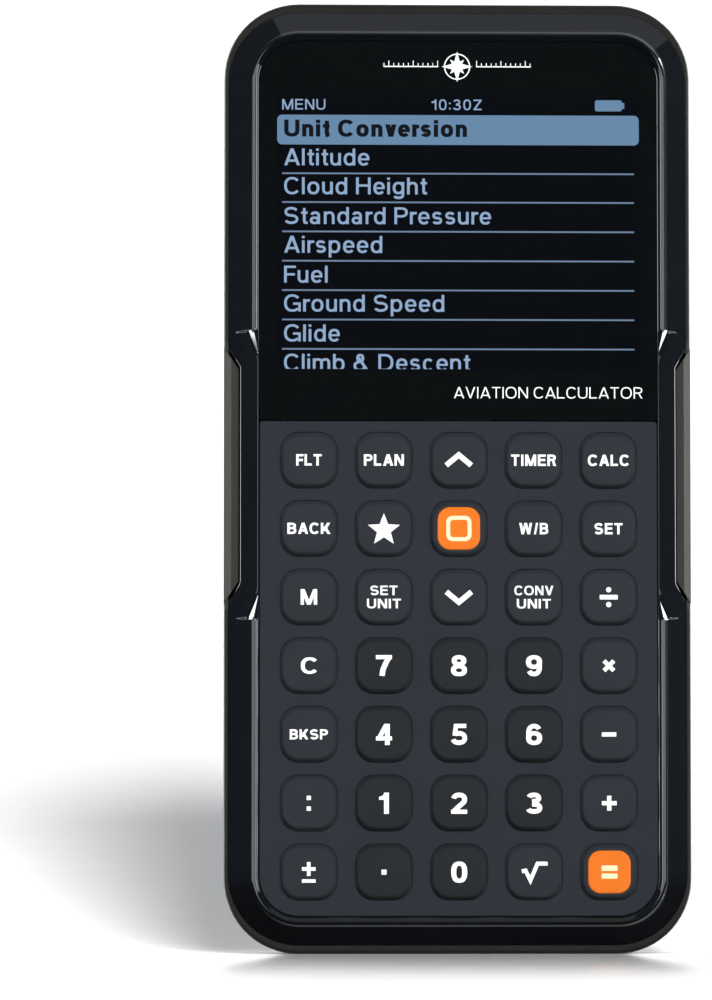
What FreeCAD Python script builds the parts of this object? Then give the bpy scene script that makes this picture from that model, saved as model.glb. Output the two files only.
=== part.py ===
import FreeCAD, Part
import math
import os
import Sketcher
from FreeCAD import Placement, Rotation, Vector

# Electronic flight computer, standing on its bottom edge.
# Frame: +Z up along the tall side, the keypad and screen face -Y, +X to the reader's right.
# Origin: middle of the bottom edge. Depths are counted back from the bezel's ridge plane.

doc = FreeCAD.newDocument("FlightComputer")
sheet = doc.addObject("Spreadsheet::Sheet", "dims")

DIMENSIONS = [
    # outline
    ("body_width", 82.5), ("body_height", 168.0), ("corner_radius", 13.3), ("ridge_depth", 9.2),
    # front bezel
    ("rim_width", 0.9), ("rim_height", 1.7), ("ridge_low", 5.35), ("ridge_high", 162.15),
    ("bevel_depth", 4.2), ("bevel_width", 4.0), ("ridge_flat", 0.3),
    ("lip_width", 1.0), ("lip_depth", 0.7), ("panel_thick", 1.2), ("ledge_thick", 0.8),
    ("ledge_reach", 1.05), ("skirt_depth", 7.0), ("skirt_thick", 1.5), ("ring_width", 3.1),
    ("window_low", 99.6), ("window_high", 159.4), ("keywell_low", 7.6), ("keywell_high", 93.2),
    ("boss_radius", 2.2), ("boss_end", 8.4), ("boss_bore", 1.0), ("boss_bore_depth", 4.2),
    # waist on both sides
    ("waist_centre", 84.2), ("waist_outer", 23.4), ("waist_inner", 19.0), ("waist_inset", 2.9),
    ("scoop_inset", 5.95), ("scoop_depth", 1.3), ("scoop_long", 25.4), ("scoop_short", 21.6),
    ("waist_gap", 0.3), ("grip_front", 3.3), ("grip_slope", 1.3),
    # rear shell
    ("rim_front", 4.5), ("back_depth", 18.3), ("wall_thick", 1.8), ("floor_thick", 1.4),
    ("back_round", 4.0), ("rabbet_depth", 7.2), ("rabbet_gap", 0.1), ("rear_boss_radius", 2.6),
    ("rim_round", 0.78),
    ("rear_boss_front", 8.7), ("rear_boss_bore", 1.15), ("sink_radius", 2.3), ("sink_depth", 2.7),
    ("screw_x", 32.5), ("screw_low", 7.0), ("screw_mid", 96.2), ("screw_high", 160.6),
    ("foot_radius", 3.6), ("foot_proud", 0.4), ("foot_sink", 0.4), ("foot_x", 31.0),
    ("foot_low", 19.0), ("foot_high", 149.0),
    # battery bay and door
    ("bay_half", 22.3), ("bay_low", 17.0), ("bay_high", 70.6), ("bay_wall", 1.4),
    ("bay_front", 5.2), ("bay_roof", 0.8), ("bay_back", 16.6), ("door_half", 22.8),
    ("door_high", 72.2), ("door_gap", 0.3), ("hinge_depth", 16.6), ("hinge_height", 13.8),
    ("knuckle_radius", 1.7), ("knuckle_room", 0.25), ("pin_radius", 0.8), ("pin_bore", 0.85),
    ("pin_length", 1.8), ("lug_width", 2.4), ("lug_front", 14.6),
    ("cell_radius", 5.2), ("cell_length", 43.7), ("cell_pitch", 10.9), ("cell_depth", 11.4),
    ("cell_low", 21.0), ("nub_radius", 1.9), ("nub_length", 0.8),
    ("contact_thick", 0.4), ("contact_clear", 0.3), ("wire_radius", 0.3),
    # panel pieces
    ("panel_gap", 0.1), ("seam_height", 93.7), ("seam_gap", 0.2),
    # keys
    ("key_pitch_x", 13.16), ("key_pitch_z", 12.033), ("key_first_z", 14.49),
    ("key_width", 9.7), ("key_height", 9.5), ("key_corner", 3.1), ("key_top_inset", 0.35),
    ("key_round", 0.75), ("key_proud", 0.3), ("key_gap", 0.15), ("flange_extra", 0.65),
    ("flange_front", 2.0), ("flange_thick", 0.35), ("pill_radius", 2.4), ("pill_thick", 0.2),
    ("key_travel", 0.8), ("cap_width", 7.5), ("cap_corner", 2.2), ("cap_thick", 0.3),
    # screen stack
    ("screen_width", 64.2), ("screen_height", 48.5), ("screen_centre", 126.75),
    ("lcd_width", 70.6), ("lcd_low", 99.0), ("lcd_high", 156.0), ("lcd_front", 2.95),
    ("lcd_thick", 1.6), ("light_thick", 1.4), ("gasket_thick", 0.95),
    # boards
    ("board_thick", 1.2), ("board_front", 3.6), ("board_half", 33.5), ("board_low", 10.5),
    ("board_high", 93.0), ("pad_radius", 2.6), ("pad_thick", 0.08),
    ("upper_half", 29.5), ("upper_low", 99.0), ("upper_high", 164.0), ("upper_front", 7.2),
    ("upper_thick", 1.0), ("post_x", 26.5), ("post_low", 103.0), ("post_high", 152.0),
    ("post_radius", 2.0),
    # top edge
    ("button_x", 18.0), ("button_width", 9.0), ("button_deep", 3.0), ("button_depth", 9.6),
    ("button_gap", 0.2), ("button_travel", 0.6), ("button_low", 164.95), ("button_top", 167.8),
    ("socket_x", 16.0), ("socket_width", 7.6), ("socket_deep", 2.7), ("socket_low", 161.2),
    ("socket_high", 166.6),
]

for row, (alias, value) in enumerate(DIMENSIONS, 1):
    sheet.set("A%d" % row, alias)
    sheet.set("B%d" % row, "%g" % value)
    sheet.setAlias("B%d" % row, alias)
doc.recompute()


class Dim(object):
    """A length together with the sheet expression that gives it."""

    def __init__(self, value, text):
        self.value = float(value)
        self.text = text

    def join(self, other, sign, reverse=False):
        other = dim(other)
        a, b = (other, self) if reverse else (self, other)
        value = {"+": a.value + b.value, "-": a.value - b.value, "*": a.value * b.value}[sign]
        return Dim(value, "(%s %s %s)" % (a.text, sign, b.text))

    def __add__(self, other):
        return self.join(other, "+")

    def __radd__(self, other):
        return self.join(other, "+", True)

    def __sub__(self, other):
        return self.join(other, "-")

    def __rsub__(self, other):
        return self.join(other, "-", True)

    def __mul__(self, other):
        return self.join(other, "*")

    def __rmul__(self, other):
        return self.join(other, "*", True)

    def __neg__(self):
        return Dim(-self.value, "(0 - %s)" % self.text)

    def half(self):
        return Dim(self.value / 2.0, "(%s / 2)" % self.text)


def dim(item):
    if isinstance(item, Dim):
        return item
    return Dim(item, "%.6g" % item if item >= 0 else "(0 - %.6g)" % -item)


def d(alias):
    return Dim(float(sheet.get(alias)), "dims." + alias)


def depth(t):
    """Offset along the front normal (-Y) of a plane that lies t behind the ridge."""
    return d("ridge_depth") - dim(t)


def bind(obj, path, item):
    item = dim(item)
    obj.setExpression(path, item.text)


nodes = []


def new_body(label, many=False):
    body = doc.addObject("PartDesign::Body", label)
    body.Label = label
    if many:
        body.AllowCompound = True
    nodes.append(body)
    return body


def place(body, x=None, y=None, z=None):
    for axis, item in (("x", x), ("y", y), ("z", z)):
        if item is not None:
            bind(body, ".Placement.Base." + axis, item)


def origin_plane(body, role):
    for feature in body.Origin.OriginFeatures:
        if feature.Role == role:
            return feature
    raise ValueError(role)


count = [0]


def new_sketch(body, role, offset, at=None):
    count[0] += 1
    sketch = body.newObject("Sketcher::SketchObject", "outline%d" % count[0])
    sketch.AttachmentSupport = [(origin_plane(body, role), "")]
    sketch.MapMode = "FlatFace"
    bind(sketch, ".AttachmentOffset.Base.z", offset)
    if at is not None:
        bind(sketch, ".AttachmentOffset.Base.x", at[0])
        bind(sketch, ".AttachmentOffset.Base.y", at[1])
    return sketch


def constrain(sketch, items):
    for kind, refs, item in items:
        index = sketch.addConstraint(Sketcher.Constraint(kind, *(list(refs) + [dim(item).value])))
        sketch.setExpression("Constraints[%d]" % index, dim(item).text)


def round_rect(body, role, offset, at, width, height, radius):
    """Rounded rectangle centred on its own attachment point."""
    sketch = new_sketch(body, role, offset, at)
    w, h, r = dim(width).value / 2, dim(height).value / 2, dim(radius).value
    z = Vector(0, 0, 1)
    line = lambda x0, y0, x1, y1: Part.LineSegment(Vector(x0, y0, 0), Vector(x1, y1, 0))
    arc = lambda x, y, a: Part.ArcOfCircle(Part.Circle(Vector(x, y, 0), z, r),
                                           math.radians(a), math.radians(a + 90))
    sketch.addGeometry([line(-w + r, -h, w - r, -h), line(w, -h + r, w, h - r),
                        line(w - r, h, -w + r, h), line(-w, h - r, -w, -h + r),
                        arc(w - r, -h + r, -90), arc(w - r, h - r, 0),
                        arc(-w + r, h - r, 90), arc(-w + r, -h + r, 180)], False)
    C = Sketcher.Constraint
    sketch.addConstraint([C("Tangent", 0, 2, 4, 1), C("Tangent", 4, 2, 1, 1),
                          C("Tangent", 1, 2, 5, 1), C("Tangent", 5, 2, 2, 1),
                          C("Tangent", 2, 2, 6, 1), C("Tangent", 6, 2, 3, 1),
                          C("Tangent", 3, 2, 7, 1), C("Tangent", 7, 2, 0, 1),
                          C("Horizontal", 0), C("Horizontal", 2), C("Vertical", 1), C("Vertical", 3),
                          C("Equal", 4, 5), C("Equal", 5, 6), C("Equal", 6, 7),
                          C("Symmetric", 4, 3, 6, 3, -1, 1)])
    constrain(sketch, [("Radius", (4,), radius), ("DistanceX", (3, 1, 1, 1), width),
                       ("DistanceY", (0, 1, 2, 1), height)])
    return sketch


def rect(body, role, offset, at, width, height):
    sketch = new_sketch(body, role, offset, at)
    w, h = dim(width).value / 2, dim(height).value / 2
    p = [Vector(-w, -h, 0), Vector(w, -h, 0), Vector(w, h, 0), Vector(-w, h, 0)]
    sketch.addGeometry([Part.LineSegment(p[i], p[(i + 1) % 4]) for i in range(4)], False)
    C = Sketcher.Constraint
    sketch.addConstraint([C("Coincident", i, 2, (i + 1) % 4, 1) for i in range(4)]
                         + [C("Horizontal", 0), C("Horizontal", 2), C("Vertical", 1), C("Vertical", 3),
                            C("Symmetric", 0, 1, 2, 1, -1, 1)])
    constrain(sketch, [("DistanceX", (0, 1, 0, 2), width), ("DistanceY", (1, 1, 1, 2), height)])
    return sketch


def polygon(body, role, offset, points):
    """Closed outline whose corners are each held from the origin."""
    sketch = new_sketch(body, role, offset)
    p = [Vector(dim(x).value, dim(y).value, 0) for x, y in points]
    n = len(p)
    sketch.addGeometry([Part.LineSegment(p[i], p[(i + 1) % n]) for i in range(n)], False)
    sketch.addConstraint([Sketcher.Constraint("Coincident", i, 2, (i + 1) % n, 1) for i in range(n)])
    for i, (x, y) in enumerate(points):
        constrain(sketch, [("DistanceX", (-1, 1, i, 1), x), ("DistanceY", (-1, 1, i, 1), y)])
    return sketch


def circles(body, role, offset, items):
    """Circles, each given as centre x, centre y, radius."""
    sketch = new_sketch(body, role, offset)
    for i, (x, y, r) in enumerate(items):
        centre = Vector(dim(x).value, dim(y).value, 0)
        sketch.addGeometry(Part.Circle(centre, Vector(0, 0, 1), dim(r).value), False)
        constrain(sketch, [("DistanceX", (-1, 1, i, 3), x), ("DistanceY", (-1, 1, i, 3), y),
                           ("Radius", (i,), r)])
    return sketch


def feature(body, kind, sketch=None):
    count[0] += 1
    item = body.newObject("PartDesign::" + kind, kind.lower() + "%d" % count[0])
    if sketch is not None:
        item.Profile = sketch
        sketch.Visibility = False
    item.Refine = True
    return item


def pad(body, sketch, length, reverse=False):
    item = feature(body, "Pad", sketch)
    item.Length = dim(length).value
    bind(item, "Length", length)
    item.Reversed = reverse
    doc.recompute()
    body.Tip = item
    return item


def pocket(body, sketch, length, reverse=False):
    before = body.Tip.Shape.Volume
    item = feature(body, "Pocket", sketch)
    item.Length = dim(length).value
    bind(item, "Length", length)
    item.Reversed = reverse
    doc.recompute()
    if not before - item.Shape.Volume > 1e-4:
        raise RuntimeError("%s: pocket %s cuts nothing" % (body.Label, item.Name))
    body.Tip = item
    return item


def loft(body, kind, first, last):
    item = feature(body, kind, first)
    item.Sections = [last]
    item.Ruled = True
    doc.recompute()
    body.Tip = item
    return item


def mirrored(body, originals, role="YZ_Plane"):
    item = body.newObject("PartDesign::Mirrored", "mirror%d" % count[0])
    count[0] += 1
    item.Originals = originals
    item.MirrorPlane = (origin_plane(body, role), [""])
    item.Refine = True
    doc.recompute()
    body.Tip = item
    return item


def grid(body, originals, along_x=None, along_z=None):
    """Repeats features on a grid: each direction is (spacing, number)."""
    multi = body.newObject("PartDesign::MultiTransform", "grid%d" % count[0])
    count[0] += 1
    multi.Originals = originals
    steps = []
    for role, entry in (("X_Axis", along_x), ("Z_Axis", along_z)):
        if entry is None:
            continue
        line = doc.addObject("PartDesign::LinearPattern", "repeat%d" % count[0])
        count[0] += 1
        line.Direction = (origin_plane(body, role), [""])
        line.Mode = "Spacing" if "Spacing" in line.getEnumerationsOfProperty("Mode") else "Extent"
        spacing, number = entry
        line.Occurrences = number
        if line.Mode == "Spacing":
            line.Offset = dim(spacing).value
            bind(line, "Offset", spacing)
        else:
            line.Length = dim(spacing).value * (number - 1)
            bind(line, "Length", dim(spacing) * (number - 1))
        body.addObject(line)
        steps.append(line)
    multi.Transformations = steps
    multi.Refine = True
    doc.recompute()
    body.Tip = multi
    return multi


def edges(shape, test):
    return ["Edge%d" % (i + 1) for i, e in enumerate(shape.Edges) if test(e)]


def dress(body, kind, names, size):
    if not names:
        raise RuntimeError("%s: no edge to dress" % body.Label)
    base = body.Tip
    item = body.newObject("PartDesign::" + kind, kind.lower() + "%d" % count[0])
    count[0] += 1
    item.Base = (base, names)
    if kind == "Fillet":
        item.Radius = dim(size).value
        bind(item, "Radius", size)
    else:
        item.Size = dim(size).value
        bind(item, "Size", size)
    doc.recompute()
    body.Tip = item
    return item


def flat_in(e, axis, value, tol=1e-3):
    b = e.BoundBox
    low, high = {"y": (b.YMin, b.YMax), "x": (b.XMin, b.XMax), "z": (b.ZMin, b.ZMax)}[axis]
    return abs(low - value) < tol and abs(high - value) < tol


XZ, YZ, XY = "XZ_Plane", "YZ_Plane", "XY_Plane"
width, height = d("body_width"), d("body_height")
mid = (dim(0), height.half())
ridge = d("ridge_depth")
screw_spots = [(sx * d("screw_x"), z) for z in (d("screw_low"), d("screw_mid"), d("screw_high"))
               for sx in (-1, 1)]

# ---------------------------------------------------------------- front bezel
bezel = new_body("front_bezel")
rim = d("rim_width")
outer = (width - 2 * rim, height - 2 * d("rim_height"), d("corner_radius") - rim)
face_mid = (dim(0), (d("ridge_low") + d("ridge_high")).half())
crest = (outer[0] - 2 * d("bevel_width"), d("ridge_high") - d("ridge_low"), outer[2] - d("bevel_width"))
lip = tuple(v - k * d("ridge_flat") for v, k in zip(crest, (2, 2, 1)))
opening = tuple(v - k * d("lip_width") for v, k in zip(lip, (2, 2, 1)))
loft(bezel, "AdditiveLoft",
     round_rect(bezel, XZ, depth(d("bevel_depth")), mid, *outer),
     round_rect(bezel, XZ, depth(0), face_mid, *crest))
pad(bezel, round_rect(bezel, XZ, depth(d("skirt_depth")), mid, *outer),
    d("skirt_depth") - d("bevel_depth"))
loft(bezel, "SubtractiveLoft",
     round_rect(bezel, XZ, depth(0), face_mid, *lip),
     round_rect(bezel, XZ, depth(d("lip_depth")), face_mid, *opening))
pocket(bezel, round_rect(bezel, XZ, depth(d("lip_depth")), face_mid, *opening), d("panel_thick"))
ledge = d("lip_depth") + d("panel_thick")
behind = ledge + d("ledge_thick")
ring = tuple(v - k * d("ring_width") for v, k in zip(outer, (2, 2, 1)))
pocket(bezel, round_rect(bezel, XZ, depth(behind), mid, *ring), d("skirt_depth"))
skirt = tuple(v - k * d("skirt_thick") for v, k in zip(outer, (2, 2, 1)))
pocket(bezel, round_rect(bezel, XZ, depth(d("bevel_depth")), mid, *skirt), d("skirt_depth"))
window_width = opening[0] - 2 * d("ledge_reach")
for low, high in (("window_low", "window_high"), ("keywell_low", "keywell_high")):
    pocket(bezel, round_rect(bezel, XZ, depth(ledge), (dim(0), (d(low) + d(high)).half()),
                             window_width, d(high) - d(low), 2.5), d("ledge_thick") + 0.2)
# screw bosses under the frame and the cross bar
pad(bezel, circles(bezel, XZ, depth(d("boss_end")), [(x, z, d("boss_radius")) for x, z in screw_spots]),
    d("boss_end") - ledge - 0.2)
pocket(bezel, circles(bezel, XZ, depth(d("boss_end")), [(x, z, d("boss_bore")) for x, z in screw_spots]),
       d("boss_bore_depth"), True)
# waist: the bezel is cut back on both sides and its ridge scooped down
edge_x = width.half()
cut_x = edge_x - d("waist_inset")
wc = d("waist_centre")
cut = pocket(bezel, polygon(bezel, XZ, depth(-1), [
    (cut_x, wc - d("waist_inner")), (edge_x + 0.6, wc - d("waist_outer") - 0.9),
    (edge_x + 0.6, wc + d("waist_outer") + 0.9), (cut_x, wc + d("waist_inner"))]), 12)
mirrored(bezel, [cut])
scoop = pocket(bezel, polygon(bezel, YZ, edge_x - d("scoop_inset"), [
    (-(ridge + 0.5), wc - d("scoop_long") - 1.2), (-(ridge - d("scoop_depth")), wc - d("scoop_short")),
    (-(ridge - d("scoop_depth")), wc + d("scoop_short")), (-(ridge + 0.5), wc + d("scoop_long") + 1.2)]),
    8, True)
mirrored(bezel, [scoop])

# ---------------------------------------------------------------- rear shell
shell = new_body("rear_shell")
full = (width, height, d("corner_radius"))
pad(shell, round_rect(shell, XZ, depth(d("back_depth")), mid, *full), d("back_depth") - d("rim_front"))
back_y = (d("back_depth") - ridge).value
dress(shell, "Fillet", edges(shell.Shape, lambda e: flat_in(e, "y", back_y)), d("back_round"))
rim_y = (d("rim_front") - ridge).value
dress(shell, "Fillet", edges(shell.Shape, lambda e: flat_in(e, "y", rim_y)), d("rim_round"))
inner = tuple(v - k * d("wall_thick") for v, k in zip(full, (2, 2, 1)))
floor_front = d("back_depth") - d("floor_thick")
pocket(shell, round_rect(shell, XZ, depth(d("rim_front")), mid, *inner), floor_front - d("rim_front"))
rabbet = tuple(v + k * d("rabbet_gap") for v, k in zip(outer, (2, 2, 1)))
pocket(shell, round_rect(shell, XZ, depth(d("rim_front")), mid, *rabbet),
       d("rabbet_depth") - d("rim_front"))
# grips that fill the waist
gap = d("waist_gap")
grip = pad(shell, polygon(shell, XZ, depth(floor_front - 2.2), [
    (cut_x + gap, wc - d("waist_inner") + gap), (edge_x, wc - d("waist_outer") + 0.9),
    (edge_x, wc + d("waist_outer") - 0.9), (cut_x + gap, wc + d("waist_inner") - gap)]),
    floor_front - 2.2 - d("grip_front"))
mirrored(shell, [grip])
gs = d("grip_slope")
grip_y = d("grip_front") - ridge
slope = pocket(shell, polygon(shell, XY, wc - d("waist_outer") - 0.5, [
    (edge_x - gs - 0.2, grip_y - 0.2), (edge_x + 0.4, grip_y - 0.2), (edge_x + 0.4, grip_y + gs + 0.4)]),
    2 * d("waist_outer") + 1, True)
mirrored(shell, [slope])
# battery bay: roof and four walls
bay_w = 2 * (d("bay_half") + d("bay_wall"))
bay_bottom = d("bay_low") - d("bay_wall") + 0.3
bay_top = d("bay_high") + d("bay_wall") + 0.9
pad(shell, rect(shell, XZ, depth(floor_front + 0.1), (dim(0), (bay_bottom + bay_top).half()),
                bay_w, bay_top - bay_bottom), floor_front + 0.1 - d("bay_front"))
pocket(shell, rect(shell, XZ, depth(d("bay_front") + d("bay_roof")),
                   (dim(0), (d("bay_low") + d("bay_high")).half()),
                   2 * d("bay_half"), d("bay_high") - d("bay_low")), 14)
door_gap = d("door_gap")
open_low = d("hinge_height") - d("knuckle_radius") - d("knuckle_room")
open_high = d("door_high") + door_gap
pocket(shell, rect(shell, XZ, depth(d("bay_back")), (dim(0), (open_low + open_high).half()),
                   2 * (d("door_half") + door_gap), open_high - open_low), 4)
# finger notch above the door
pocket(shell, round_rect(shell, XZ, depth(d("back_depth") - 0.8), (dim(0), open_high + 0.5),
                         16, 5, 2.2), 4)
# hinge lugs with pin bores
lug_x = d("door_half") + door_gap + d("lug_width").half()
lug = pad(shell, rect(shell, XZ, depth(floor_front + 0.2), (lug_x, d("hinge_height")),
                      d("lug_width"), 3.2), floor_front + 0.2 - d("lug_front"))
mirrored(shell, [lug])
bore = pocket(shell, circles(shell, YZ, d("door_half") - 0.5, [
    (d("hinge_depth") - ridge, d("hinge_height"), d("pin_bore"))]), d("pin_length") + 0.7, True)
mirrored(shell, [bore])
# screw bosses, counterbored from behind
pad(shell, circles(shell, XZ, depth(floor_front + 0.1),
                   [(x, z, d("rear_boss_radius")) for x, z in screw_spots]),
    floor_front + 0.1 - d("rear_boss_front"))
pocket(shell, circles(shell, XZ, depth(d("rear_boss_front") - 0.5),
                      [(x, z, d("rear_boss_bore")) for x, z in screw_spots]), 11)
pocket(shell, circles(shell, XZ, depth(d("back_depth") - d("sink_depth")),
                      [(x, z, d("sink_radius")) for x, z in screw_spots]), 4)
# posts for the upper board
posts = [(sx * d("post_x"), z) for z in (d("post_low"), d("post_high")) for sx in (-1, 1)]
post_front = d("upper_front") + d("upper_thick") + 0.1
pad(shell, circles(shell, XZ, depth(floor_front + 0.1), [(x, z, d("post_radius")) for x, z in posts]),
    floor_front + 0.1 - post_front)
pocket(shell, circles(shell, XZ, depth(post_front), [(x, z, 0.75) for x, z in posts]), 5)
# sockets for the feet
feet = [(sx * d("foot_x"), z) for z in (d("foot_low"), d("foot_high")) for sx in (-1, 1)]
pocket(shell, circles(shell, XZ, depth(d("back_depth") - d("foot_sink")),
                      [(x, z, d("foot_radius") + 0.1) for x, z in feet]), 3)
# openings in the top edge for the button and the data socket
button_y = d("button_depth") - ridge
pocket(shell, round_rect(shell, XY, height - 4, (d("button_x"), button_y),
                         d("button_width") + 2 * d("button_gap"), d("button_deep") + 2 * d("button_gap"),
                         d("button_deep").half() + d("button_gap") - 0.01), 8, True)
socket_y = d("upper_front") + d("upper_thick") + d("socket_deep").half() - ridge
pocket(shell, round_rect(shell, XY, height - 4, (-d("socket_x"), socket_y),
                         d("socket_width") + 0.8, d("socket_deep") + 0.8, 1.2), 8, True)

# ---------------------------------------------------------------- window and keypad sheet
window = new_body("display_window")
panel_half = opening[0].half() - d("panel_gap")
panel_bottom = face_mid[1] - opening[1].half() + d("panel_gap")
panel_top = face_mid[1] + opening[1].half() - d("panel_gap")
panel_round = opening[2] - d("panel_gap")
seam = d("seam_gap").half()
win_low = d("seam_height") + seam
pad(window, rect(window, XZ, depth(ledge), (dim(0), (win_low + panel_top).half()),
                 2 * panel_half, panel_top - win_low), d("panel_thick"))


def upright(e):
    b = e.BoundBox
    return b.XLength < 1e-3 and b.ZLength < 1e-3 and b.YLength > 0.1


dress(window, "Fillet", edges(window.Shape, lambda e: upright(e) and e.BoundBox.ZMin > 120), panel_round)

mat = new_body("keypad_mat")
mat_high = d("seam_height") - seam
pad(mat, rect(mat, XZ, depth(ledge), (dim(0), (panel_bottom + mat_high).half()),
              2 * panel_half, mat_high - panel_bottom), d("panel_thick"))
dress(mat, "Fillet", edges(mat.Shape, lambda e: upright(e) and e.BoundBox.ZMin < 20), panel_round)
kg = d("key_gap")
hole = pocket(mat, round_rect(mat, XZ, depth(d("lip_depth") - 0.5), (-2 * d("key_pitch_x"), d("key_first_z")),
                              d("key_width") + 2 * kg, d("key_height") + 2 * kg, d("key_corner") + kg), 3)
grid(mat, [hole], (d("key_pitch_x"), 5), (d("key_pitch_z"), 7))

# ---------------------------------------------------------------- keys
KEYS = [
    ["sign", "point", "0", "root", "equals"],
    ["colon", "1", "2", "3", "plus"],
    ["backspace", "4", "5", "6", "minus"],
    ["clear", "7", "8", "9", "multiply"],
    ["memory", "set_unit", "down", "conv_unit", "divide"],
    ["back", "star", "select", "wb", "set"],
    ["flt", "plan", "up", "timer", "calc"],
]
ORANGE = ("select", "equals")
key_w, key_h, key_r = d("key_width"), d("key_height"), d("key_corner")
inset = d("key_top_inset")
flange_back = d("flange_front") + d("flange_thick")
zero = (dim(0), dim(0))
key_total = d("flange_front") + d("key_proud")
for row in range(7):
    for column in range(5):
        name = KEYS[row][column]
        key = new_body("key_" + name)
        # column of the key, tapering to its rounded top
        loft(key, "AdditiveLoft",
             round_rect(key, XZ, depth(d("flange_front")), zero, key_w, key_h, key_r),
             round_rect(key, XZ, depth(-d("key_proud")), zero, key_w - 2 * inset, key_h - 2 * inset,
                        key_r - inset))
        top_y = -(ridge + d("key_proud")).value
        dress(key, "Fillet", edges(key.Shape, lambda e: flat_in(e, "y", top_y)), d("key_round"))
        if name in ORANGE:
            pocket(key, round_rect(key, XZ, depth(-d("key_proud") - 0.2), zero, d("cap_width") + 0.1,
                                   d("cap_width") + 0.1, d("cap_corner") + 0.05), d("cap_thick") + 0.25)
        # flange that holds the key behind the sheet, and the contact pill
        pad(key, round_rect(key, XZ, depth(flange_back), zero, key_w + 2 * d("flange_extra"),
                            key_h + 2 * d("flange_extra"), key_r + d("flange_extra")), d("flange_thick"))
        pad(key, circles(key, XZ, depth(flange_back + d("pill_thick")), [(0.0, 0.0, d("pill_radius"))]),
            d("pill_thick"))
        place(key, (column - 2) * d("key_pitch_x"), None, d("key_first_z") + row * d("key_pitch_z"))
        if name in ORANGE:
            cap = new_body("key_%s_cap" % name)
            pad(cap, round_rect(cap, XZ, depth(-d("key_proud") + d("cap_thick")), zero, d("cap_width"),
                                d("cap_width"), d("cap_corner")), d("cap_thick"))
            place(cap, (column - 2) * d("key_pitch_x"), None,
                  d("key_first_z") + row * d("key_pitch_z"))

# ---------------------------------------------------------------- screen stack
lcd_mid = (dim(0), (d("lcd_low") + d("lcd_high")).half())
lcd_h = d("lcd_high") - d("lcd_low")
gasket = new_body("window_gasket")
pad(gasket, round_rect(gasket, XZ, depth(ledge + 0.05 + d("gasket_thick")),
                       (dim(0), d("screen_centre") + 1.5), window_width - 0.8, 56.4, 2.2), d("gasket_thick"))
pocket(gasket, round_rect(gasket, XZ, depth(ledge - 0.5), (dim(0), d("screen_centre")),
                          d("screen_width") + 1.2, d("screen_height") + 1.2, 1.0), 3)
panel = new_body("lcd_panel")
pad(panel, round_rect(panel, XZ, depth(d("lcd_front") + d("lcd_thick")), lcd_mid,
                      d("lcd_width"), lcd_h, 0.8), d("lcd_thick"))
light = new_body("lcd_backlight")
light_front = d("lcd_front") + d("lcd_thick") + 0.05
pad(light, round_rect(light, XZ, depth(light_front + d("light_thick")), lcd_mid,
                      d("lcd_width"), lcd_h, 0.8), d("light_thick"))

# ---------------------------------------------------------------- boards
board = new_body("main_board")
pad(board, round_rect(board, XZ, depth(d("board_front") + d("board_thick")),
                      (dim(0), (d("board_low") + d("board_high")).half()),
                      2 * d("board_half"), d("board_high") - d("board_low"), 1.5), d("board_thick"))
pads = new_body("key_contacts", True)
first_pad = pad(pads, circles(pads, XZ, depth(d("board_front")), [
    (-2 * d("key_pitch_x"), d("key_first_z"), d("pad_radius"))]), d("pad_thick"))
grid(pads, [first_pad], (d("key_pitch_x"), 5), (d("key_pitch_z"), 7))

upper = new_body("upper_board")
upper_back = d("upper_front") + d("upper_thick")
pad(upper, round_rect(upper, XZ, depth(upper_back), (dim(0), (d("upper_low") + d("upper_high")).half()),
                      2 * d("upper_half"), d("upper_high") - d("upper_low"), 1.5), d("upper_thick"))
pocket(upper, circles(upper, XZ, depth(d("upper_front") - 0.5), [(x, z, 0.8) for x, z in posts]), 3)

chips = new_body("board_chips", True)
for x, z, w, h, thick in ((0, 132, 12, 12, 1.2), (-15, 134, 8, 6, 1.0), (14, 136, 6, 5, 1.1),
                          (-13, 118, 5, 4, 1.0), (10, 112, 10, 8, 1.3)):
    pad(chips, rect(chips, XZ, depth(upper_back + thick), (dim(x), dim(z)), dim(w), dim(h)), dim(thick))

beeper = new_body("beeper")
pad(beeper, circles(beeper, XZ, depth(upper_back + 2.6), [(12.0, 149.0, 6.0)]), 2.6)
pocket(beeper, circles(beeper, XZ, depth(upper_back + 1.4), [(12.0, 149.0, 1.0)]), 2)

ribbon = new_body("board_ribbon")
rb = d("board_front") + d("board_thick") - ridge
ru = d("upper_front") - ridge
pad(ribbon, polygon(ribbon, YZ, -6, [
    (rb, 88), (rb + 0.2, 88), (rb + 0.2, d("upper_low") - 3.2), (ru - 0.15, d("upper_low") - 2.2),
    (ru - 0.15, d("upper_low") + 4), (ru - 0.35, d("upper_low") + 4), (ru - 0.35, d("upper_low") - 1.9),
    (rb, d("upper_low") - 2.95)]), 12)

fixings = new_body("board_screws", True)
bx, bz = d("post_x"), d("post_low")
head = pad(fixings, circles(fixings, XZ, depth(d("upper_front")), [(-bx, bz, 1.4)]), 0.8)
stem = pad(fixings, circles(fixings, XZ, depth(d("upper_front") + 5.4), [(-bx, bz, 0.7)]), 5.6)
grid(fixings, [head, stem], (2 * bx, 2), (d("post_high") - bz, 2))

# ---------------------------------------------------------------- data socket, switch, button
usb = new_body("usb_socket")
sock_h = d("socket_high") - d("socket_low")
pad(usb, round_rect(usb, XY, d("socket_low"), (-d("socket_x"), socket_y), d("socket_width"),
                    d("socket_deep") - 0.02, 0.8), sock_h)
pocket(usb, round_rect(usb, XY, d("socket_low") + 0.8, (-d("socket_x"), socket_y),
                       d("socket_width") - 0.7, d("socket_deep") - 0.7, 0.6), sock_h, True)
pad(usb, rect(usb, XY, d("socket_low") + 0.5, (-d("socket_x"), socket_y), 4.8, 0.5), sock_h - 1.2)

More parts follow.
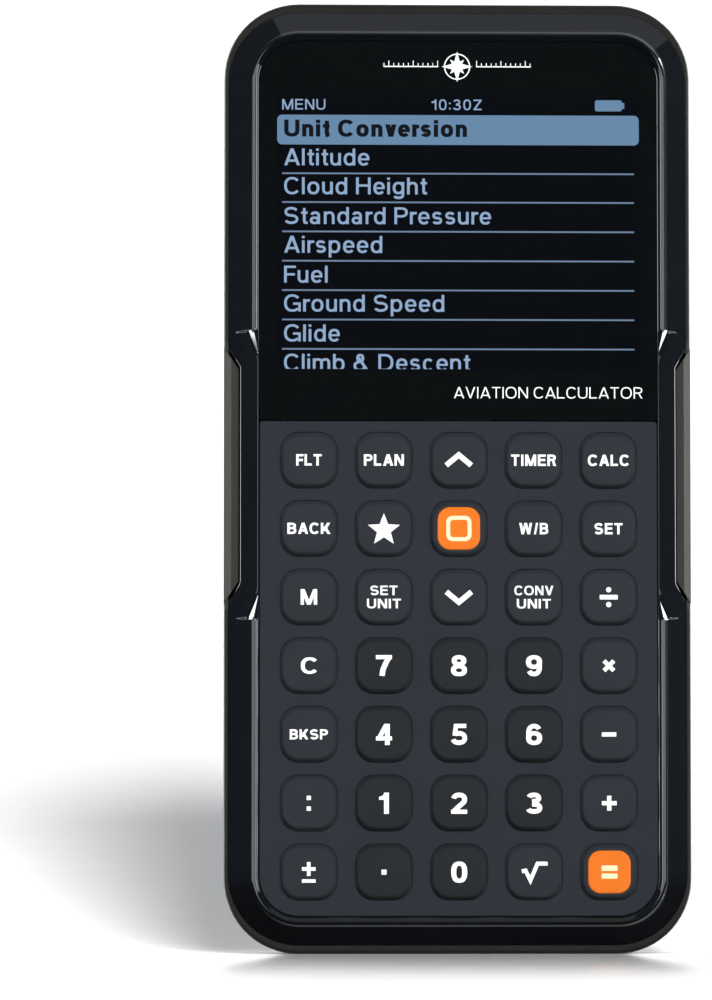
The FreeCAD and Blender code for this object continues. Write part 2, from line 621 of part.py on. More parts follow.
switch = new_body("power_switch")
pad(switch, rect(switch, XY, d("button_low") - 4.15, (d("button_x"), upper_back + 1.25 - ridge), 5.2, 2.46), 3.0)
pad(switch, circles(switch, XY, d("button_low") - 1.3, [(d("button_x"), button_y, 0.8)]), 0.65)

button = new_body("power_button")
pad(button, round_rect(button, XY, d("button_low"), (d("button_x"), button_y), d("button_width"),
                       d("button_deep"), d("button_deep").half() - 0.01), d("button_top") - d("button_low"))
dress(button, "Fillet", edges(button.Shape, lambda e: flat_in(e, "z", d("button_top").value)), 0.4)
pad(button, rect(button, XY, d("button_low"), (d("button_x"), button_y), d("button_width") + 1.6,
                 d("button_deep") + 0.2), 1.0)

# ---------------------------------------------------------------- battery door and cells
door = new_body("battery_door")
hy, hz = d("hinge_depth") - ridge, d("hinge_height")
plate_t = d("back_depth") - floor_front
pad(door, rect(door, XZ, depth(d("back_depth")), (dim(0), (hz + d("door_high")).half()),
               2 * d("door_half"), d("door_high") - hz), plate_t)
pad(door, circles(door, YZ, -d("door_half"), [(hy, hz, d("knuckle_radius"))]), 2 * d("door_half"))
pad(door, circles(door, YZ, -(d("door_half") + d("pin_length")), [(hy, hz, d("pin_radius"))]),
    2 * (d("door_half") + d("pin_length")))
# finger recess and grip ribs near the free end
pocket(door, round_rect(door, XZ, depth(d("back_depth") - 0.6), (dim(0), d("door_high") - 3.0),
                        16, 5, 2.2), 3)
for k in range(4):
    pocket(door, round_rect(door, XZ, depth(d("back_depth") - 0.4),
                            (dim(0), d("door_high") - 8.2 - 1.8 * k), 16, 0.8, 0.38), 3)

cells = new_body("battery_cells", True)
cy = d("cell_depth") - ridge
pitch = d("cell_pitch")
up_cells = (-1.5 * pitch, 0.5 * pitch)
down_cells = (-0.5 * pitch, 1.5 * pitch)
low = d("cell_low")
pad(cells, circles(cells, XY, low, [(x, cy, d("cell_radius")) for x in up_cells]), d("cell_length"))
pad(cells, circles(cells, XY, low + d("cell_length") - 0.1, [(x, cy, d("nub_radius")) for x in up_cells]),
    d("nub_length") + 0.1)
pad(cells, circles(cells, XY, low + d("nub_length"), [(x, cy, d("cell_radius")) for x in down_cells]),
    d("cell_length"))
pad(cells, circles(cells, XY, low, [(x, cy, d("nub_radius")) for x in down_cells]), d("nub_length") + 0.1)

contacts = new_body("battery_contacts", True)
cc, ct = d("contact_clear"), d("contact_thick")
plate_low = d("bay_low") + cc
plate_high = d("bay_high") - cc - ct
top_of_cells = low + d("cell_length") + d("nub_length")
for base in (plate_low, plate_high):
    for k in (-1.5, -0.5, 0.5, 1.5):
        pad(contacts, rect(contacts, XY, base, (k * pitch, cy), 9.4, 8.6), ct)
pad(contacts, circles(contacts, XY, plate_low + ct - 0.1, [(x, cy, 2.2) for x in down_cells]),
    low - plate_low - ct - 0.0)
pad(contacts, circles(contacts, XY, top_of_cells + 0.1, [(x, cy, 2.2) for x in up_cells]),
    plate_high - top_of_cells)

# conical coil springs: one wire each, swept round a tapering helix
springs = doc.addObject("Part::Feature", "battery_springs")
springs.Label = "battery_springs"
coils = []
for x, base, free, up in ([(v, plate_low + ct + 0.05, low - 0.05, True) for v in up_cells]
                          + [(v, plate_high - 0.05, top_of_cells + 0.05, False) for v in down_cells]):
    r = d("wire_radius").value
    tall = abs((free - base).value) - 2 * r
    helix = Part.makeHelix(tall / 2.5, tall, 3.4, -10.0)
    start = helix.Edges[0].valueAt(helix.Edges[0].FirstParameter)
    tangent = helix.Edges[0].tangentAt(helix.Edges[0].FirstParameter)
    ring_wire = Part.Wire(Part.makeCircle(r, start, tangent))
    coil = Part.Wire(helix.Edges).makePipeShell([ring_wire], True, True)
    if coil.Volume < 0:
        coil.reverse()
    if not up:
        coil.rotate(Vector(0, 0, tall / 2.0), Vector(1, 0, 0), 180)
        coil.translate(Vector(x.value, cy.value, base.value - r - tall))
    else:
        coil.translate(Vector(x.value, cy.value, base.value + r))
    coils.append(coil)
springs.Shape = Part.makeCompound(coils)
springs.Placement = Placement(Vector(0, 0, 0), Rotation())
nodes.append(springs)

# ---------------------------------------------------------------- fasteners and feet
screws = new_body("case_screws", True)
sx, sz = d("screw_x"), d("screw_low")
seat = d("back_depth") - d("sink_depth")
items = []
screw_head = pad(screws, circles(screws, XZ, depth(seat + 1.4), [(-sx, z, 2.0) for z in
                 (d("screw_low"), d("screw_mid"), d("screw_high"))]), 1.4)
screw_stem = pad(screws, circles(screws, XZ, depth(seat + 0.1), [(-sx, z, 0.95) for z in
                 (d("screw_low"), d("screw_mid"), d("screw_high"))]), seat + 0.1 - 4.7)
slot_a = pocket(screws, rect(screws, XZ, depth(seat + 0.7), (-sx, d("screw_low")), 2.2, 0.5), 2)
slot_b = pocket(screws, rect(screws, XZ, depth(seat + 0.7), (-sx, d("screw_mid")), 2.2, 0.5), 2)
slot_c = pocket(screws, rect(screws, XZ, depth(seat + 0.7), (-sx, d("screw_high")), 2.2, 0.5), 2)
slots = [slot_a, slot_b, slot_c]
for z in (d("screw_low"), d("screw_mid"), d("screw_high")):
    slots.append(pocket(screws, rect(screws, XZ, depth(seat + 0.7), (-sx, z), 0.5, 2.2), 2))
grid(screws, [screw_head, screw_stem] + slots, (2 * sx, 2))

pads_back = new_body("rubber_feet", True)
pad(pads_back, circles(pads_back, XZ, depth(d("back_depth") + d("foot_proud")),
                       [(x, z, d("foot_radius")) for x, z in feet]), d("foot_proud") + d("foot_sink"))
foot_y = (d("back_depth") + d("foot_proud") - ridge).value
dress(pads_back, "Fillet", edges(pads_back.Shape, lambda e: flat_in(e, "y", foot_y)), 0.25)

# ---------------------------------------------------------------- check and write
doc.recompute()
bad = [o.Name for o in doc.Objects if "Invalid" in o.State or "Error" in o.State]
if bad:
    raise RuntimeError("failed features: " + ", ".join(bad))
labels = [n.Label for n in nodes]
if len(set(labels)) != len(labels) or len(labels) > 60:
    raise RuntimeError("labels: %d" % len(labels))
for node in nodes:
    shape = node.Shape
    if shape.isNull() or not shape.isValid() or shape.Volume <= 0 or not shape.Solids:
        raise RuntimeError("bad shape: " + node.Label)
os.makedirs("parts", exist_ok=True)
for old in os.listdir("parts"):
    if old.endswith(".step") and old[:-5] not in labels:
        os.remove(os.path.join("parts", old))
box = FreeCAD.BoundBox()
for node in nodes:
    node.Shape.exportStep("parts/%s.step" % node.Label)
    box.add(node.Shape.BoundBox)
    print("%-18s %2d solids %9.2f mm3" % (node.Label, len(node.Shape.Solids), node.Shape.Volume))
print("%d nodes, box %.2f..%.2f %.2f..%.2f %.2f..%.2f" % (
    len(nodes), box.XMin, box.XMax, box.YMin, box.YMax, box.ZMin, box.ZMax))
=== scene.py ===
import bpy
import bmesh
import math
from mathutils import Matrix, Vector


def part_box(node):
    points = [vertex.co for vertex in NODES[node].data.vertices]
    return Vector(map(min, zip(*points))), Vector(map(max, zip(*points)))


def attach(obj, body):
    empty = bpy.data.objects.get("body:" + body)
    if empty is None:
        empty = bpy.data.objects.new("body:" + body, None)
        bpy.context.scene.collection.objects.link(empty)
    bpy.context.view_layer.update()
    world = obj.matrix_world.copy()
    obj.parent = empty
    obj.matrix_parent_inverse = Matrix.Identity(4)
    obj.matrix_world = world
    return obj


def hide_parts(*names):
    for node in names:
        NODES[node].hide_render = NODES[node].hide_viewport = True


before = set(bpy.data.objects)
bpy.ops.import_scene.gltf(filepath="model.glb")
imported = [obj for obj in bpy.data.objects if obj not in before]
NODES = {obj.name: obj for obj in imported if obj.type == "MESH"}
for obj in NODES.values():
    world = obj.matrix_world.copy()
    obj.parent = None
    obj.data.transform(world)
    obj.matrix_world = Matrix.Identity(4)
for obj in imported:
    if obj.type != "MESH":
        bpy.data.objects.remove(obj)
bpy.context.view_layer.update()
MM = 0.001


# ---------------------------------------------------------------- helpers

def lin(c):
    c = c / 255.0
    return c / 12.92 if c <= 0.04045 else ((c + 0.055) / 1.055) ** 2.4


def rgb(r, g, b):
    return (lin(r), lin(g), lin(b), 1.0)


def grey(v):
    return (v, v, v, 1.0)


def box_mm(node):
    lo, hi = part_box(node)
    return [v * 1000 for v in lo], [v * 1000 for v in hi]


def lerp(a, b, t):
    return a + (b - a) * t


def smooth01(t):
    t = max(0.0, min(1.0, t))
    return t * t * (3 - 2 * t)


def link(obj):
    bpy.context.scene.collection.objects.link(obj)
    return obj


def make(name, verts, faces, mat, body, slot=None, sharp=32, replaces=(), weighted=False):
    """A mesh piece from points in millimetres."""
    me = bpy.data.meshes.new(name)
    me.from_pydata([(x * MM, y * MM, z * MM) for x, y, z in verts], [], faces)
    me.validate()
    return piece(name, me, mat, body, sharp, replaces, weighted)


def piece(name, me, mat, body, sharp=32, replaces=(), weighted=False):
    bm = bmesh.new()
    bm.from_mesh(me)
    bmesh.ops.remove_doubles(bm, verts=bm.verts, dist=1e-7)
    bmesh.ops.dissolve_degenerate(bm, edges=bm.edges, dist=1e-8)
    bmesh.ops.recalc_face_normals(bm, faces=bm.faces)
    bm.to_mesh(me)
    bm.free()
    for p in me.polygons:
        p.use_smooth = True
    me.set_sharp_from_angle(angle=math.radians(sharp))
    me.materials.clear()
    me.materials.append(mat)
    obj = link(bpy.data.objects.new(name, me))
    if weighted:
        w = obj.modifiers.new("weights", "WEIGHTED_NORMAL")
        w.keep_sharp = True
    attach(obj, body)
    if replaces:
        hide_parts(*replaces)
    return obj


def loft(loops, close_start=False, close_end=False, closed=True):
    """Points and quads through loops of equal length."""
    n = len(loops[0])
    verts = [p for loop in loops for p in loop]
    faces = []
    for k in range(len(loops) - 1):
        for i in range(n if closed else n - 1):
            j = (i + 1) % n
            faces.append((k * n + i, k * n + j, (k + 1) * n + j, (k + 1) * n + i))
    if close_start:
        faces.append(tuple(range(n)))
    if close_end:
        faces.append(tuple(range((len(loops) - 1) * n, len(loops) * n)))
    return verts, faces


def rr(cx, cz, hx, hz, r, y, arc=10, side=3):
    """A rounded rectangle as a loop of points in a plane of constant y."""
    r = max(0.01, min(r, hx - 0.001, hz - 0.001))
    pts = []
    corners = [(cx + hx - r, cz + hz - r, 0), (cx - hx + r, cz + hz - r, 90),
               (cx - hx + r, cz - hz + r, 180), (cx + hx - r, cz - hz + r, 270)]
    for k, (ax, az, a0) in enumerate(corners):
        for i in range(arc + 1):
            a = math.radians(a0 + 90.0 * i / arc)
            pts.append((ax + r * math.cos(a), y, az + r * math.sin(a)))
        bx, bz, b0 = corners[(k + 1) % 4]
        a = math.radians(a0 + 90)
        s = (ax + r * math.cos(a), az + r * math.sin(a))
        e = (bx + r * math.cos(a), bz + r * math.sin(a))
        for i in range(1, side + 1):
            t = i / (side + 1)
            pts.append((lerp(s[0], e[0], t), y, lerp(s[1], e[1], t)))
    return pts


# ---------------------------------------------------------------- materials

class Nodes:
    """A small builder for one material's nodes."""

    def __init__(self, name):
        self.mat = bpy.data.materials.new(name)
        self.mat.use_nodes = True
        self.nt = self.mat.node_tree
        self.bsdf = self.nt.nodes["Principled BSDF"]
        self.coord = self.nt.nodes.new("ShaderNodeTexCoord")

    def set(self, **values):
        for k, v in values.items():
            self.bsdf.inputs[k.replace("_", " ")].default_value = v
        return self

    def noise(self, size_mm, detail=3.0, rough=0.5, stretch=None, seed=0.0):
        n = self.nt.nodes.new("ShaderNodeTexNoise")
        n.noise_dimensions = "4D"
        n.inputs["W"].default_value = seed
        n.inputs["Scale"].default_value = 1000.0 / size_mm
        n.inputs["Detail"].default_value = detail
        n.inputs["Roughness"].default_value = rough
        source = self.coord.outputs["Object"]
        if stretch:
            m = self.nt.nodes.new("ShaderNodeMapping")
            m.inputs["Scale"].default_value = stretch
            self.nt.links.new(source, m.inputs["Vector"])
            source = m.outputs["Vector"]
        self.nt.links.new(source, n.inputs["Vector"])
        return n.outputs["Fac"]

    def cells(self, size_mm):
        n = self.nt.nodes.new("ShaderNodeTexVoronoi")
        n.inputs["Scale"].default_value = 1000.0 / size_mm
        self.nt.links.new(self.coord.outputs["Object"], n.inputs["Vector"])
        return n.outputs["Distance"]

    def ramp(self, fac, stops):
        n = self.nt.nodes.new("ShaderNodeValToRGB")
        e = n.color_ramp.elements
        e[0].position, e[0].color = stops[0]
        e[1].position, e[1].color = stops[1]
        for pos, col in stops[2:]:
            x = e.new(pos)
            x.color = col
        self.nt.links.new(fac, n.inputs["Fac"])
        return n.outputs["Color"]

    def math(self, op, a, b=None, clamp=False):
        n = self.nt.nodes.new("ShaderNodeMath")
        n.operation = op
        n.use_clamp = clamp
        for i, v in enumerate((a, b)):
            if v is None:
                continue
            if isinstance(v, (int, float)):
                n.inputs[i].default_value = v
            else:
                self.nt.links.new(v, n.inputs[i])
        return n.outputs[0]

    def mix(self, fac, a, b):
        n = self.nt.nodes.new("ShaderNodeMix")
        n.data_type = "RGBA"
        if isinstance(fac, (int, float)):
            n.inputs[0].default_value = fac
        else:
            self.nt.links.new(fac, n.inputs[0])
        for i, v in ((6, a), (7, b)):
            if isinstance(v, tuple):
                n.inputs[i].default_value = v
            else:
                self.nt.links.new(v, n.inputs[i])
        return n.outputs[2]

    def bump(self, height, strength, depth_mm, normal=None):
        n = self.nt.nodes.new("ShaderNodeBump")
        n.inputs["Strength"].default_value = strength
        n.inputs["Distance"].default_value = depth_mm * MM
        self.nt.links.new(height, n.inputs["Height"])
        if normal is not None:
            self.nt.links.new(normal, n.inputs["Normal"])
        return n.outputs["Normal"]

    def to(self, socket, value):
        self.nt.links.new(value, self.bsdf.inputs[socket])
        return self

    def position(self):
        n = self.nt.nodes.new("ShaderNodeSeparateXYZ")
        self.nt.links.new(self.coord.outputs["Object"], n.inputs[0])
        return n.outputs


def shade(c, k):
    return tuple(min(1.0, x * k) for x in c[:3]) + (1.0,)


def plastic(name, colour, rough, grain_mm=0.3, grain=0.25, depth=0.02, vary=0.12, patch_mm=14.0,
            rough_vary=0.06, spec=0.5, coat=0.0, coat_rough=0.05, sheen=0.0, seed=1.0):
    m = Nodes(name)
    patch = m.noise(patch_mm, 4.0, 0.55, seed=seed)
    col = m.ramp(patch, [(0.3, shade(colour, 1 - vary)), (0.7, shade(colour, 1 + vary))])
    fine = m.noise(grain_mm * 0.8, 2.0, 0.5, seed=seed + 3)
    col = m.mix(m.math("MULTIPLY", fine, 0.16), col, shade(colour, 0.6))
    m.to("Base Color", col)
    wear = m.noise(patch_mm * 0.45, 3.0, 0.6, seed=seed + 7)
    m.to("Roughness", m.math("ADD", m.math("MULTIPLY", wear, 2 * rough_vary), rough - rough_vary, True))
    height = m.math("ADD", m.noise(grain_mm, 3.0, 0.6, seed=seed + 11), m.math("MULTIPLY", m.cells(grain_mm * 1.6), 0.5))
    m.to("Normal", m.bump(height, grain, depth))
    m.set(Specular_IOR_Level=spec, Coat_Weight=coat, Coat_Roughness=coat_rough, Sheen_Weight=sheen)
    return m.mat


def gloss(name, colour, rough=0.07, peel_mm=3.5, peel=0.05, coat=0.6, seed=2.0, vary=0.2):
    """Polished moulding: a slight orange peel, hairline scratches and a thin film of handling marks."""
    m = Nodes(name)
    patch = m.noise(18.0, 4.0, 0.6, seed=seed)
    m.to("Base Color", m.ramp(patch, [(0.3, shade(colour, 1 - vary)), (0.75, shade(colour, 1 + vary))]))
    film = m.noise(7.0, 5.0, 0.65, seed=seed + 5)
    hair = m.noise(0.5, 2.0, 0.5, stretch=(1.0, 1.0, 0.05), seed=seed + 9)
    r = m.math("ADD", m.math("MULTIPLY", film, 0.05), rough - 0.025)
    m.to("Roughness", m.math("ADD", r, m.math("MULTIPLY", hair, 0.02), True))
    m.to("Normal", m.bump(m.noise(peel_mm, 2.0, 0.4, seed=seed + 1), peel, 0.02))
    m.set(Specular_IOR_Level=0.5, Coat_Weight=coat, Coat_Roughness=0.03)
    return m.mat


def metal(name, colour, rough, scratch=(1.0, 1.0, 0.08), grain_mm=0.25, seed=3.0, depth=0.01, strength=0.2):
    m = Nodes(name)
    patch = m.noise(3.0, 4.0, 0.6, seed=seed)
    m.to("Base Color", m.ramp(patch, [(0.3, shade(colour, 0.82)), (0.75, shade(colour, 1.06))]))
    lines = m.noise(grain_mm, 3.0, 0.6, stretch=scratch, seed=seed + 2)
    m.to("Roughness", m.math("ADD", m.math("MULTIPLY", lines, 0.2), rough - 0.1, True))
    m.to("Normal", m.bump(lines, strength, depth))
    m.set(Metallic=1.0)
    return m.mat


def ink(name, colour, rough=0.5, seed=4.0, vary=0.05, glow=0.0):
    """Printed or moulded-in legend: slightly uneven in tone and gloss."""
    m = Nodes(name)
    n = m.noise(0.35, 3.0, 0.6, seed=seed)
    col = m.ramp(n, [(0.3, shade(colour, 1 - 2 * vary)), (0.7, colour)])
    m.to("Base Color", col)
    m.to("Roughness", m.math("ADD", m.math("MULTIPLY", m.noise(1.2, 3.0, 0.5, seed=seed + 2), 0.16), rough - 0.08, True))
    m.to("Normal", m.bump(n, 0.15, 0.005))
    if glow:
        m.to("Emission Color", col)
        m.set(Emission_Strength=glow)
    return m.mat


def pixels(name, colour, level=1.0, seed=5.0, unevenness=0.06):
    """Lit picture elements of the display: a fine grid of dots under the colour."""
    m = Nodes(name)
    pos = m.position()
    rows = m.math("SINE", m.math("MULTIPLY", pos["Z"], 2 * math.pi / (0.2025 * MM)))
    cols = m.math("SINE", m.math("MULTIPLY", pos["X"], 2 * math.pi / (0.2025 * MM)))
    grid = m.math("ADD", m.math("MULTIPLY", m.math("ADD", rows, cols), 0.035), 0.95, True)
    cloud = m.math("MULTIPLY", m.noise(9.0, 3.0, 0.5, seed=seed), unevenness)
    lum = m.math("ADD", grid, cloud, True)
    n = m.nt.nodes.new("ShaderNodeVectorMath")
    n.operation = "SCALE"
    n.inputs[0].default_value = colour[:3]
    m.nt.links.new(lum, n.inputs["Scale"])
    m.nt.links.new(n.outputs["Vector"], m.bsdf.inputs["Emission Color"])
    m.set(Base_Color=grey(0.004), Emission_Strength=level, Roughness=0.1)
    return m.mat


M = {}
M["bezel"] = gloss("gloss_black_moulding", (0.0042, 0.0050, 0.0062, 1), rough=0.07)
M["shell"] = None
M["mat"] = plastic("slate_silicone", (0.0137, 0.0166, 0.0232, 1), 0.62, grain_mm=0.16, grain=0.35, depth=0.012, vary=0.05, spec=0.28, sheen=0.05, seed=12)
M["key"] = plastic("slate_key_rubber", (0.0141, 0.0174, 0.0229, 1), 0.58, grain_mm=0.14, grain=0.35, depth=0.012, vary=0.06, patch_mm=9, spec=0.28, sheen=0.05, seed=15)
M["key_dark"] = plastic("dark_key_rubber", (0.0090, 0.0117, 0.0143, 1), 0.58, grain_mm=0.14, grain=0.35, depth=0.012, vary=0.06, patch_mm=9, spec=0.28, sheen=0.05, seed=19)
M["orange"] = plastic("orange_key_cap", (0.62, 0.134, 0.0040, 1), 0.42, grain_mm=0.12, grain=0.15, depth=0.006, vary=0.05, patch_mm=5, spec=0.3, seed=23)
M["white"] = ink("white_legend", (0.82, 0.83, 0.82, 1), 0.5)
M["cream"] = ink("cream_legend", (0.92, 0.66, 0.40, 1), 0.5, seed=6)
M["print"] = ink("white_lens_print", (0.78, 0.80, 0.80, 1), 0.35, seed=7)
M["foot"] = plastic("foot_rubber", (0.012, 0.012, 0.012, 1), 0.7, grain_mm=0.2, grain=0.4, depth=0.015, spec=0.35, seed=31)
M["button"] = plastic("button_black_plastic", (0.010, 0.010, 0.011, 1), 0.35, grain_mm=0.2, grain=0.2, depth=0.01, seed=33)
M["foam"] = plastic("black_foam", (0.008, 0.008, 0.009, 1), 0.95, grain_mm=0.35, grain=0.9, depth=0.08, spec=0.2, seed=35)
M["steel"] = metal("screw_steel", (0.32, 0.32, 0.33, 1), 0.34, seed=41)
M["socket"] = metal("socket_steel", (0.62, 0.62, 0.61, 1), 0.28, seed=43)
M["nickel"] = metal("contact_nickel", (0.66, 0.63, 0.56, 1), 0.3, seed=45)
M["spring"] = metal("spring_steel", (0.55, 0.54, 0.52, 1), 0.3, seed=47)
M["gold"] = metal("gold_plating", (0.86, 0.62, 0.24, 1), 0.26, seed=49)
M["chip"] = plastic("chip_black", (0.012, 0.012, 0.013, 1), 0.45, grain_mm=0.1, grain=0.3, depth=0.006, seed=51)
M["ribbon"] = plastic("ribbon_amber", (0.42, 0.16, 0.03, 1), 0.35, grain_mm=0.3, grain=0.1, depth=0.005, seed=53)
M["lcd"] = gloss("display_glass", (0.006, 0.006, 0.008, 1), rough=0.05, coat=0.5, seed=55)
M["light"] = plastic("backlight_film", (0.78, 0.79, 0.80, 1), 0.5, grain_mm=0.2, grain=0.1, depth=0.005, vary=0.03, seed=57)


def board_material():
    m = Nodes("circuit_board")
    pos = m.position()
    traces = m.nt.nodes.new("ShaderNodeTexBrick")
    traces.inputs["Scale"].default_value = 260.0
    traces.inputs["Color1"].default_value = (0.010, 0.085, 0.030, 1)
    traces.inputs["Color2"].default_value = (0.012, 0.105, 0.038, 1)
    traces.inputs["Mortar"].default_value = (0.030, 0.170, 0.060, 1)
    traces.inputs["Mortar Size"].default_value = 0.03
    swap = m.nt.nodes.new("ShaderNodeCombineXYZ")
    m.nt.links.new(pos["X"], swap.inputs["X"])
    m.nt.links.new(pos["Z"], swap.inputs["Y"])
    m.nt.links.new(swap.outputs[0], traces.inputs["Vector"])
    m.to("Base Color", traces.outputs["Color"])
    m.to("Normal", m.bump(traces.outputs["Fac"], 0.3, 0.03))
    m.to("Roughness", m.math("ADD", m.math("MULTIPLY", m.noise(2.0), 0.15), 0.25))
    return m.mat


def cell_material():
    """Wrapped dry cells: two plain bands of colour along the cell, bare metal at the ends."""
    m = Nodes("cell_wrapper")
    pos = m.position()
    lo, hi = box_mm("battery_cells")
    mid = (lo[2] + hi[2]) / 2 * MM
    pitch = (hi[0] - lo[0]) / 4 * MM
    # neighbours lie head to tail, so the copper band is at the top of every second cell
    up = m.math("GREATER_THAN", m.math("SINE", m.math("MULTIPLY", pos["X"], math.pi / pitch)), 0.0)
    up = m.math("SUBTRACT", m.math("MULTIPLY", up, 2.0), 1.0)
    band = m.math("GREATER_THAN", m.math("MULTIPLY", m.math("SUBTRACT", pos["Z"], mid), up), 0.052 - mid)
    col = m.mix(band, (0.016, 0.018, 0.022, 1), (0.50, 0.30, 0.10, 1))
    m.to("Base Color", m.mix(m.math("MULTIPLY", m.noise(4.0, seed=61.0), 0.25), col, grey(0.02)))
    m.to("Roughness", m.math("ADD", m.math("MULTIPLY", m.noise(3.0, seed=62.0), 0.1), 0.22))
    m.to("Normal", m.bump(m.noise(2.5, seed=63.0), 0.1, 0.02))
    m.set(Metallic=0.6)
    return m.mat


def lens_material():
    """Black-backed display window: deep gloss, the active area a trace lighter than its printed border."""
    m = Nodes("black_lens")
    pos = m.position()
    lx, lz0, lz1 = 32.1 * MM, 102.5 * MM, 151.0 * MM
    inside = m.math("LESS_THAN", m.math("ABSOLUTE", pos["X"]), lx)
    inside = m.math("MULTIPLY", inside, m.math("GREATER_THAN", pos["Z"], lz0))
    inside = m.math("MULTIPLY", inside, m.math("LESS_THAN", pos["Z"], lz1))
    m.to("Base Color", m.mix(inside, (0.0017, 0.0022, 0.0018, 1), (0.0013, 0.0014, 0.0019, 1)))
    film = m.noise(9.0, 5.0, 0.65, seed=71.0)
    hair = m.noise(0.5, 2.0, 0.5, stretch=(0.07, 1.0, 1.0), seed=73.0)
    m.to("Roughness", m.math("ADD", m.math("MULTIPLY", film, 0.04), m.math("MULTIPLY", hair, 0.015), True))
    m.to("Normal", m.bump(m.noise(25.0, 1.0, 0.3, seed=72.0), 0.02, 0.02))
    m.set(Specular_IOR_Level=0.5, Coat_Weight=0.3, Coat_Roughness=0.02)
    return m.mat


def shell_material():
    """Rear shell: near-black olive plastic, its two side grips a dull lighter tone."""
    mat = plastic("olive_shell_plastic", (0.0118, 0.0118, 0.0096, 1), 0.48, grain_mm=0.28, grain=0.45, depth=0.03, spec=0.22, seed=8)
    nt = mat.node_tree
    bsdf = nt.nodes["Principled BSDF"]
    base = bsdf.inputs["Base Color"].links[0].from_socket
    m = Nodes.__new__(Nodes)
    m.mat, m.nt, m.bsdf = mat, nt, bsdf
    m.coord = nt.nodes.new("ShaderNodeTexCoord")
    pos = m.position()
    grip = m.math("LESS_THAN", m.math("ABSOLUTE", m.math("SUBTRACT", pos["Z"], 84.2 * MM)), 23.6 * MM)
    grip = m.math("MULTIPLY", grip, m.math("GREATER_THAN", m.math("ABSOLUTE", pos["X"]), 37.8 * MM))
    grip = m.math("MULTIPLY", grip, m.math("LESS_THAN", pos["Y"], -4.0 * MM))
    light = m.mix(m.math("MULTIPLY", m.noise(12.0, 4.0, 0.55, seed=9.0), 0.25), (0.0262, 0.0262, 0.0222, 1), (0.0205, 0.0205, 0.0175, 1))
    m.to("Base Color", m.mix(grip, base, light))
    return mat


M["shell"] = shell_material()
M["board"] = board_material()
M["cell"] = cell_material()
M["lens"] = lens_material()
BLUE = rgb(146, 172, 206)
M["px_blue"] = pixels("lit_blue", BLUE, 1.0)
M["px_bar"] = pixels("lit_bar", rgb(104, 137, 170), 1.0, unevenness=0.12)
M["px_line"] = pixels("lit_line", rgb(112, 134, 162), 1.0)
M["px_dark"] = pixels("unlit_text", rgb(8, 14, 30), 0.35)

NODE_MATERIAL = {
    "rear_shell": "shell", "display_window": "lens", "window_gasket": "foam", "lcd_panel": "lcd",
    "lcd_backlight": "light", "main_board": "board", "key_contacts": "gold", "upper_board": "board",
    "board_chips": "chip", "beeper": "chip", "board_ribbon": "ribbon", "board_screws": "steel",
    "usb_socket": "socket", "power_switch": "socket", "battery_cells": "cell", "battery_contacts": "nickel",
    "battery_springs": "spring", "case_screws": "steel", "rubber_feet": "foot", "battery_door": "shell",
    "power_button": "button", "front_bezel": "bezel", "keypad_mat": "mat",
}
for node, obj in NODES.items():
    key = NODE_MATERIAL.get(node, "key")
    obj.data.materials.clear()
    obj.data.materials.append(M[key])
    for p in obj.data.polygons:
        p.material_index = 0


# ---------------------------------------------------------------- front bezel

CX = 27.95          # centre of every corner arc from the middle line
Z_LOW, Z_HIGH = 13.75, 153.75
WAIST = 84.2


def centre_z(rho, top):
    k = max(0.0, rho - 8.4) / 4.0
    return Z_HIGH + 0.15 * k if top else Z_LOW + 0.35 * k


def slope_y(rho):
    return -5.0 - (12.40 - rho) * 0.995


FULL = [(7.10, -6.9), (7.10, -8.38), (7.12, -8.46), (7.18, -8.535), (7.44, -8.725), (7.66, -8.90),
        (7.75, -8.98), (7.83, -9.055), (7.91, -9.120), (8.00, -9.170), (8.09, -9.196), (8.19, -9.190),
        (8.29, -9.145), (8.39, -9.065), (8.60, slope_y(8.60)), (9.30, slope_y(9.30)), (9.80, slope_y(9.80)),
        (10.6, slope_y(10.6)), (11.9, slope_y(11.9)), (12.20, slope_y(12.20)), (12.30, slope_y(12.30)),
        (12.40, -5.00), (12.40, -4.85), (12.40, -4.50)]
WAIST_FLOOR = -7.83


